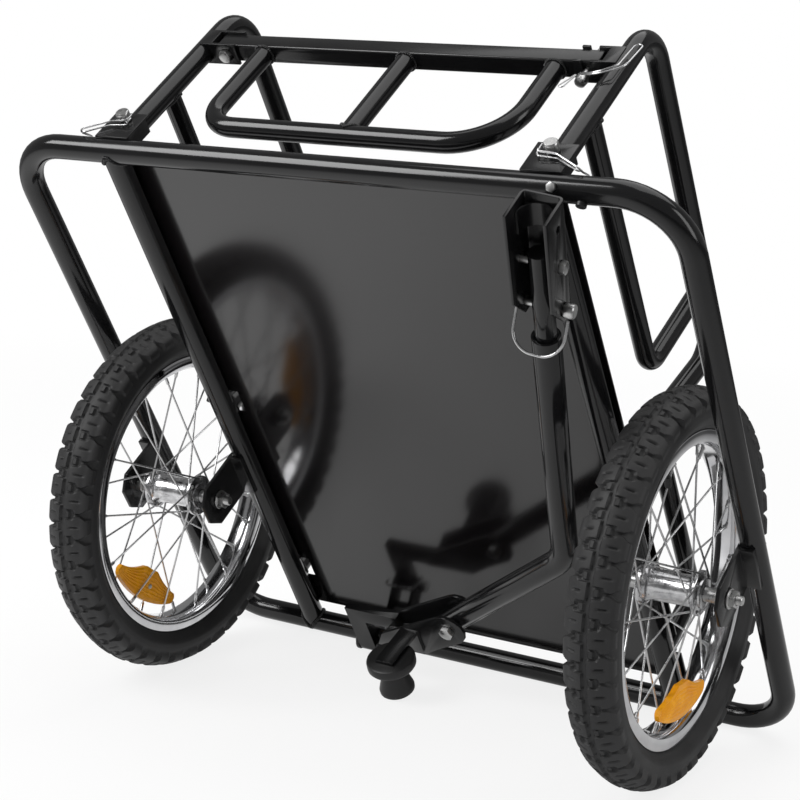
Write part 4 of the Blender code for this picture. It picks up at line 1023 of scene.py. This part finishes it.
# %% Build both wheels
# Each row: side, hand, the lens's angle, how far the lens sits beside the spokes, the valve's angle.
WHEELS = [(-1, "left", 239, 0.0, 60), (1, "right", 270, 0.0156, 105)]
for side, hand, lens_angle, beside, valve_angle in WHEELS:
    at = Matrix.Translation((side * WHEEL_X, STAND_Y, WHEEL_R))
    body = "wheel_" + hand
    placed("knobbly_tyre_" + hand, tyre_mesh.copy(), TYRE, body, "tyre_" + hand, at, 50)
    away = polar(0, 1, math.radians(valve_angle))
    hoop = cut(rim_shape(), rod(away * (RIM_INNER_R - 0.01), away * (RIM_INNER_R + 0.02), 0.0046))
    placed("chrome_rim_" + hand, hoop, CHROME, body, "rim_" + hand, at)
    placed("hub_shell_" + hand, hub_shape(), HUB_METAL, body, "spoked_hub_" + hand, at)
    spokes = by_nodes(one_set.copy(), AROUND, Count=SPOKES // 4, Start_angle=0.0, Material=SPOKE_WIRE)
    placed("spokes_" + hand, spokes, SPOKE_WIRE, body, "spoked_hub_" + hand, at)
    lens_at = math.radians(lens_angle)
    lens = reflector_shape(lens_at, beside)
    placed("amber_reflector_" + hand, lens, AMBER, body, "reflector_" + hand, at, 20)
    if hand == "left":
        placed("lens_rivet", lens_rivet(lens_at, beside), ZINC, body, (), at)
    placed("tyre_valve_" + hand, valve_shape(away), RUBBER, body, "valve_" + hand, at)
print("two wheels built")

# %% [markdown]
# ## The tow arm
# The arm is a bent tube that turns in a fork, and the fork folds round a pin under the
# front rail. At its far end a smaller stem slides into the tube and carries the hitch: a
# folded channel with a thin collar, a cross bolt and a locking pin on a wire ring.

# %% Arm tube and stem
ARM_Z = -0.050
ARM_R, STEM_R = 0.014, 0.01025
ARM_LEAN = math.radians(9.2)
arm_bolt = Vector((0.018, LOOP_LENGTH - 0.129, ARM_Z))
arm_bend = Vector((0.187, LOOP_LENGTH - 0.272, ARM_Z))
arm_along = Vector((math.sin(ARM_LEAN), -math.cos(ARM_LEAN), 0))
first = (arm_bend - arm_bolt).normalized()
arm_end = arm_bend + arm_along * ((arm_bend.y - 0.130) / -arm_along.y)
stem_end = arm_bend + arm_along * ((arm_bend.y - 0.032) / -arm_along.y)
route = rounded([arm_bolt - first * 0.014, arm_bend, arm_end], [0.060], 20)
hollow = rounded([arm_bolt - first * 0.03, arm_bend, arm_end + arm_along * 0.02], [0.060], 20)
fork_low = ARM_Z - ARM_R - 0.0044
fork_high = ARM_Z + ARM_R + 0.0044
tube = cut(bar(route, ARM_R, 36), bar(hollow, STEM_R + 0.0005, 36),
           rod((arm_bolt.x, arm_bolt.y, fork_low - 0.01), (arm_bolt.x, arm_bolt.y, fork_high + 0.01), 0.0054))
placed("tow_arm_tube", softened(tube, 0.0004, 2, 60), POWDER, "arm", "arm_tube")

under, over = fork_low - GAP, fork_high + GAP
bolt = together(hexagon(0.0085, 0, 0.0058), rod((0, 0, 0), (-(over - under) - 0.002, 0, 0), 0.0049),
                thread(-(over - under) - 0.0015, -(over - under) - 0.010, 0.0049))
placed("arm_pivot_bolt", moved(bolt, (arm_bolt.x, arm_bolt.y, under), (0, 0, -1)), ZINC, "fork", "arm_bolt")
nut = hexagon(0.0085, 0, 0.0075, 0.0053, both=True)
placed("arm_pivot_nut", moved(nut, (arm_bolt.x, arm_bolt.y, over), (0, 0, 1)), ZINC, "fork", "arm_nut")
arm_length = (arm_bend - arm_bolt).length + (arm_end - arm_bend).length
print("the arm is", round(arm_length, 3), "m long along its middle")

# %% [markdown]
# ## The hitch
# The hitch's own coordinates are x across the channel, y along the arm towards its fork and
# z away from the bed's face. The channel is one folded section, so its outline is drawn with
# round bends and pushed along the arm, then its lower corners are cut off at a slant.

# %% Hitch channel, collar and pins
across = Vector((0, 0, 1)).cross(arm_along).normalized()
across = across if across.x > 0 else -across
arm_zero = arm_bend + arm_along * (arm_bend.y / -arm_along.y)
HITCH = Matrix.Translation(arm_zero) @ Matrix((across, -arm_along, Vector((0, 0, 1)))).transposed().to_4x4()


def on_hitch(y):
    return y / math.cos(ARM_LEAN)


def hitched(mesh):
    mesh.transform(HITCH)
    return mesh


half, back, wall = 0.02025, ARM_R + 0.0035, 0.003
front = back - 0.040
top, foot = on_hitch(-0.020), on_hitch(0.106)
folded = rounded([(half, front, 0), (half, back, 0), (-half, back, 0), (-half, front, 0)], [0.005, 0.005], 6)
inside = rounded([(-half + wall, front, 0), (-half + wall, back - wall, 0), (half - wall, back - wall, 0),
                  (half - wall, front, 0)], [0.002, 0.002], 6)
section = [(p.x, p.y) for p in folded + inside]
channel = slab(section, top, foot, "Y")
corner = [(foot - 0.028, front - 0.001), (foot + 0.001, front - 0.001), (foot + 0.001, front + 0.022)]
bolt_y, pin_y, hole_y = on_hitch(0.043), on_hitch(0.0925), on_hitch(0.002)
wide = half + 0.01
channel = cut(channel, slab(corner, -wide, wide, "X"), rod((0, hole_y, 0), (wide, hole_y, 0), 0.004),
              *[rod((-wide, y, 0), (wide, y, 0), PIN_HOLE) for y in (bolt_y, pin_y)])
placed("hitch_folded_channel", hitched(softened(channel, 0.0005, 2, 50)), PLATE, "arm", "hitch_channel")

stem = cut(rod(arm_end - arm_along * 0.034, stem_end, STEM_R, 36),
           *[hitched(rod((-0.03, y, 0), (0.03, y, 0), PIN_HOLE)) for y in (bolt_y, pin_y)])
placed("hitch_inner_stem", softened(stem, 0.0006, 2, 60), POWDER, "arm", "hitch_stem")

ring_out = half - wall - GAP
edge = [(0.0116, ring_out), (0.0118, ring_out - 0.0002), (0.012, ring_out - 0.002)]
ring = turned([(-x, r) for x, r in reversed(edge)] + edge, 64)
ring_z = back - wall - GAP - ring_out
ring.transform(Matrix.Translation((0, on_hitch(0.0), ring_z)) @ Matrix.Rotation(math.pi / 2, 4, "Z"))
ring = cut(ring, block((-0.03, -0.03, ring_z - 0.03), (0.03, 0.03, ring_z - 0.003)))
placed("hitch_ring_collar", hitched(ring), PLATE, "arm", "hitch_collar")

out = half + GAP
bolt = together(hexagon(0.0068, 0, 0.005), rod((0.001, 0, 0), (-2 * out - 0.001, 0, 0), PIN_R * 0.98),
                thread(-2 * out - 0.0005, -2 * out - 0.009, PIN_R * 0.98, 0.001))
placed("hitch_cross_bolt", hitched(moved(bolt, (out, bolt_y, 0))), ZINC, "arm", "hitch_bolt")
nut = hexagon(0.0068, 0, -0.0055, PIN_R + GAP, both=True)
placed("hitch_cross_nut", hitched(moved(nut, (-out, bolt_y, 0))), ZINC, "arm", "hitch_nut")
lock = moved(pin_shape(2 * out + 0.008, 0.010), (out, pin_y, 0), (-1, 0, 0))
placed("hitch_locking_pin", hitched(lock), ZINC, "arm", "hitch_lock_pin")
ring_route = rounded([(out + 0.005, 0.0093, 0), (out + 0.005, 0.0467, 0), (-out - 0.0042, 0.0467, 0),
                      (-out - 0.0042, 0.006, 0)], [out + 0.001, out + 0.001], 16)
wire_ring = bar(ring_route, 0.0014, 12)
wire_ring.transform(Matrix.Translation((0, pin_y, 0)) @ Matrix.Rotation(-LEAN, 4, "X"))
placed("hitch_wire_ring", hitched(wire_ring), SPOKE_WIRE, "ring", "hitch_pin_ring")
print("the hitch channel is", round(foot - top, 4), "m long")

# %% [markdown]
# ## The fold pin and the rubber foot
# The fork folds round a long pin that passes both ears of the front bracket. Under the fork
# a rubber foot in a cup takes the weight when the trailer stands up.

# %% Fold pin and foot
FOLD_Y, FOLD_Z = LOOP_LENGTH - 0.029, -0.035
LUG_LEFT, LUG_RIGHT, RUN, EAR_THICK = -0.1416, -0.1190, 0.0004, 0.004
left, right = LUG_LEFT - EAR_THICK - RUN, LUG_RIGHT + RUN
head_at, tip_at = right + EAR_THICK + GAP, left - 0.006
pin = moved(pin_shape(head_at - tip_at, 0.011), (head_at, FOLD_Y, FOLD_Z), (-1, 0, 0))
placed("long_fold_pin", pin, ZINC, "fold_pin", "fold_pin")
beside, above = FOLD_Y - 0.011, FOLD_Z + 0.0165
corners = [(head_at + 0.0055, FOLD_Y - 0.0102, FOLD_Z), (head_at + 0.0005, beside, above),
           (left - 0.004, beside, above), (left - 0.0045, beside, FOLD_Z + 0.009)]
bail = strands(rounded(corners, [0.006, 0.004], 6), 0.0018, 0.0012, WIRE_R)
placed("fold_pin_bail", bail, SPOKE_WIRE, "fold_pin", "fold_pin_wire")

FOOT_TILT = math.radians(23.7)
seat = BED @ Vector((-0.0347, LOOP_LENGTH - 0.121, -0.1131))
length = (seat.z - 0.020 * math.sin(FOOT_TILT) - GAP) / math.cos(FOOT_TILT)
foot_up = Vector((0, -math.sin(FOOT_TILT), math.cos(FOOT_TILT)))
foot_at = seat - foot_up * length
low, high = length - 0.0216, length
cone = turned([(0, 0), (0, 0.0190), (0.0008, 0.0198), (0.0040, 0.0200), (0.0055, 0.0196),
               (low - 0.002, 0.0142), (low - GAP, 0.0138), (low - GAP, 0)], 64)
placed("rubber_foot_cone", moved(cone, foot_at, foot_up), RUBBER, "fork", "rubber_foot", Matrix())
cup = turned([(low, 0), (low, 0.0135), (low + 0.003, 0.0170), (low + 0.009, 0.0258), (low + 0.0115, 0.0276),
              (low + 0.013, 0.0278), (high - 0.003, 0.0278), (high - 0.001, 0.0270), (high, 0.0250),
              (high, 0)], 64)
placed("foot_holder_cup", moved(cup, foot_at, foot_up), RUBBER, "fork", "foot_cup", Matrix())
placed("frame_welds", together(*WELDS), POWDER, "frame", crease=80)
print(len(WELDS), "weld seams on the frame")

# %% [markdown]
# ## Two small things on the rear rail
# Next to the right bed tube, the photograph shows a bright bolt head on the rail's lower
# face and a small black nub a little further out.

# %% A bolt head and a nub
rail_bolt = hexagon(0.0048, 0, 0.0034)
placed("rail_bolt_head", moved(rail_bolt, (0.2565, -0.0085, -0.0100), (0, -0.62, -0.78)), ZINC, "frame")
nub = turned([(-0.002, 0), (-0.002, 0.0050), (0.0022, 0.0050), (0.0030, 0.0042), (0.0030, 0)], 24)
placed("rail_nub", moved(nub, (0.282, 0.0068, -0.0112), (0, 0.5, -0.86)), RUBBER, "frame")
print("two small pieces on the rear rail")

# %% [markdown]
# ## Studio floor and light
# The photograph is taken in front of white paper, but the studio round it is dark. That is
# why the black tubes show a few crisp bright lines and stay black between them. So the world
# and the floor are white for the camera, and darker where they are mirrored. In mirrors the
# floor glows with a painted light that fades far away and to the right. A big soft box at the
# upper left draws the bright line on every tube, a sheet of light hangs above, and a narrow one stands at the
# right.

# %% A floor that is white to the camera and keeps its shadow
def pale_floor():
    made = bpy.data.materials.new("pale_floor")
    made.use_nodes = True
    tree = made.node_tree
    shader = tree.nodes["Principled BSDF"]
    shader.inputs["Base Color"].default_value = (0.90, 0.90, 0.90, 1)
    shader.inputs["Roughness"].default_value = 0.9
    shader.inputs["Specular IOR Level"].default_value = 0.0
    path = add(tree, "ShaderNodeLightPath").outputs
    place = add(tree, "ShaderNodeTexCoord").outputs["Object"]
    away = add(tree, "ShaderNodeVectorMath", {0: place}, operation="LENGTH")
    far = spread(tree, away.outputs["Value"], 0.0, 1.0, 0.7, 2.6)
    across = add(tree, "ShaderNodeSeparateXYZ", {0: place})
    fade = spread(tree, across.outputs["X"], 1.0, 0.1, -0.3, 0.7)
    by_camera = path["Is Camera Ray"]
    by_mirror = math_node(tree, "MAXIMUM", path["Is Glossy Ray"], path["Is Transmission Ray"])
    camera_part = math_node(tree, "MULTIPLY", by_camera, math_node(tree, "MULTIPLY_ADD", far, 0.18, 0.82))
    mirror_part = math_node(tree, "MULTIPLY", by_mirror, math_node(tree, "MULTIPLY_ADD", far, 0.35, 0.55))
    # In mirrors the floor glows instead of being lit: a painted light, bright near and to the left, fading
    # far away and to the right.
    dimmer = math_node(tree, "MULTIPLY", math_node(tree, "MULTIPLY_ADD", far, -0.8, 1.0), fade)
    glow = add(tree, "ShaderNodeEmission", {"Strength": math_node(tree, "MAXIMUM", by_camera, dimmer)})
    share = math_node(tree, "MAXIMUM", camera_part, mirror_part)
    mix = add(tree, "ShaderNodeMixShader", {0: share, 1: shader.outputs[0], 2: glow.outputs[0]})
    wire(tree, mix.outputs[0], tree.nodes["Material Output"].inputs[0])
    return made


floor_mesh = bpy.data.meshes.new("studio_floor")
floor_mesh.from_pydata([(-30, -30, 0), (30, -30, 0), (30, 30, 0), (-30, 30, 0)], [], [(0, 1, 2, 3)])
floor_mesh.materials.append(pale_floor())
floor = bpy.data.objects.new("studio_floor", floor_mesh)
bpy.context.scene.collection.objects.link(floor)

# %% World and lamps
world = bpy.data.worlds.new("white_studio")
bpy.context.scene.world = world
world.use_nodes = True
tree = world.node_tree
background = tree.nodes["Background"]
path = add(tree, "ShaderNodeLightPath").outputs
dark_room = math_node(tree, "MULTIPLY_ADD", path["Is Glossy Ray"], -0.30, 0.50)
background.inputs["Color"].default_value = (1, 1, 1, 1)
wire(tree, math_node(tree, "MAXIMUM", path["Is Camera Ray"], dark_room), background.inputs["Strength"])


def soft_lamp(name, place, aim, size, power):
    lamp = bpy.data.lights.new(name, "AREA")
    lamp.shape = "RECTANGLE"
    lamp.size, lamp.size_y = size
    lamp.energy = power
    made = bpy.data.objects.new(name, lamp)
    bpy.context.scene.collection.objects.link(made)
    made.location = place
    made.rotation_euler = (Vector(aim) - Vector(place)).to_track_quat("-Z", "Y").to_euler()


soft_lamp("soft_box_left", (-1.50, -1.64, 2.10), (0, -0.1, 0.5), (1.5, 1.5), 52)
soft_lamp("sheet_above", (0.3, 0.6, 2.8), (0, 0, 0.3), (2.5, 2.5), 28)
soft_lamp("strip_right", (2.6, 0.1, 1.3), (0, 0, 0.4), (0.8, 2.0), 13)
print("floor, world and three lamps")

# %% [markdown]
# ## The camera
# The camera was solved from the wheels and the straight rails of the frame, so its place,
# its slight tilt and its lens match the photograph.

# %% Camera at the photograph's view
EYE = Vector((0.98757, -1.66021, 0.73363))
FOCAL_PIXELS, PICTURE_PIXELS, SENSOR = 1890.794, 800, 36.0
view_right = Vector((0.85482, 0.51762, 0.03674))
view_up = Vector((-0.13095, 0.14666, 0.98048))
axes = Matrix((view_right, view_up, view_right.cross(view_up))).transposed().to_4x4()
camera = bpy.data.objects.new("camera", bpy.data.cameras.new("camera"))
bpy.context.scene.collection.objects.link(camera)
camera.matrix_world = Matrix.Translation(EYE) @ axes
camera.data.sensor_width = SENSOR
camera.data.lens = FOCAL_PIXELS / PICTURE_PIXELS * SENSOR
bpy.context.scene.camera = camera
bpy.context.scene.view_settings.view_transform = "Standard"
print("lens:", round(camera.data.lens, 2), "mm")
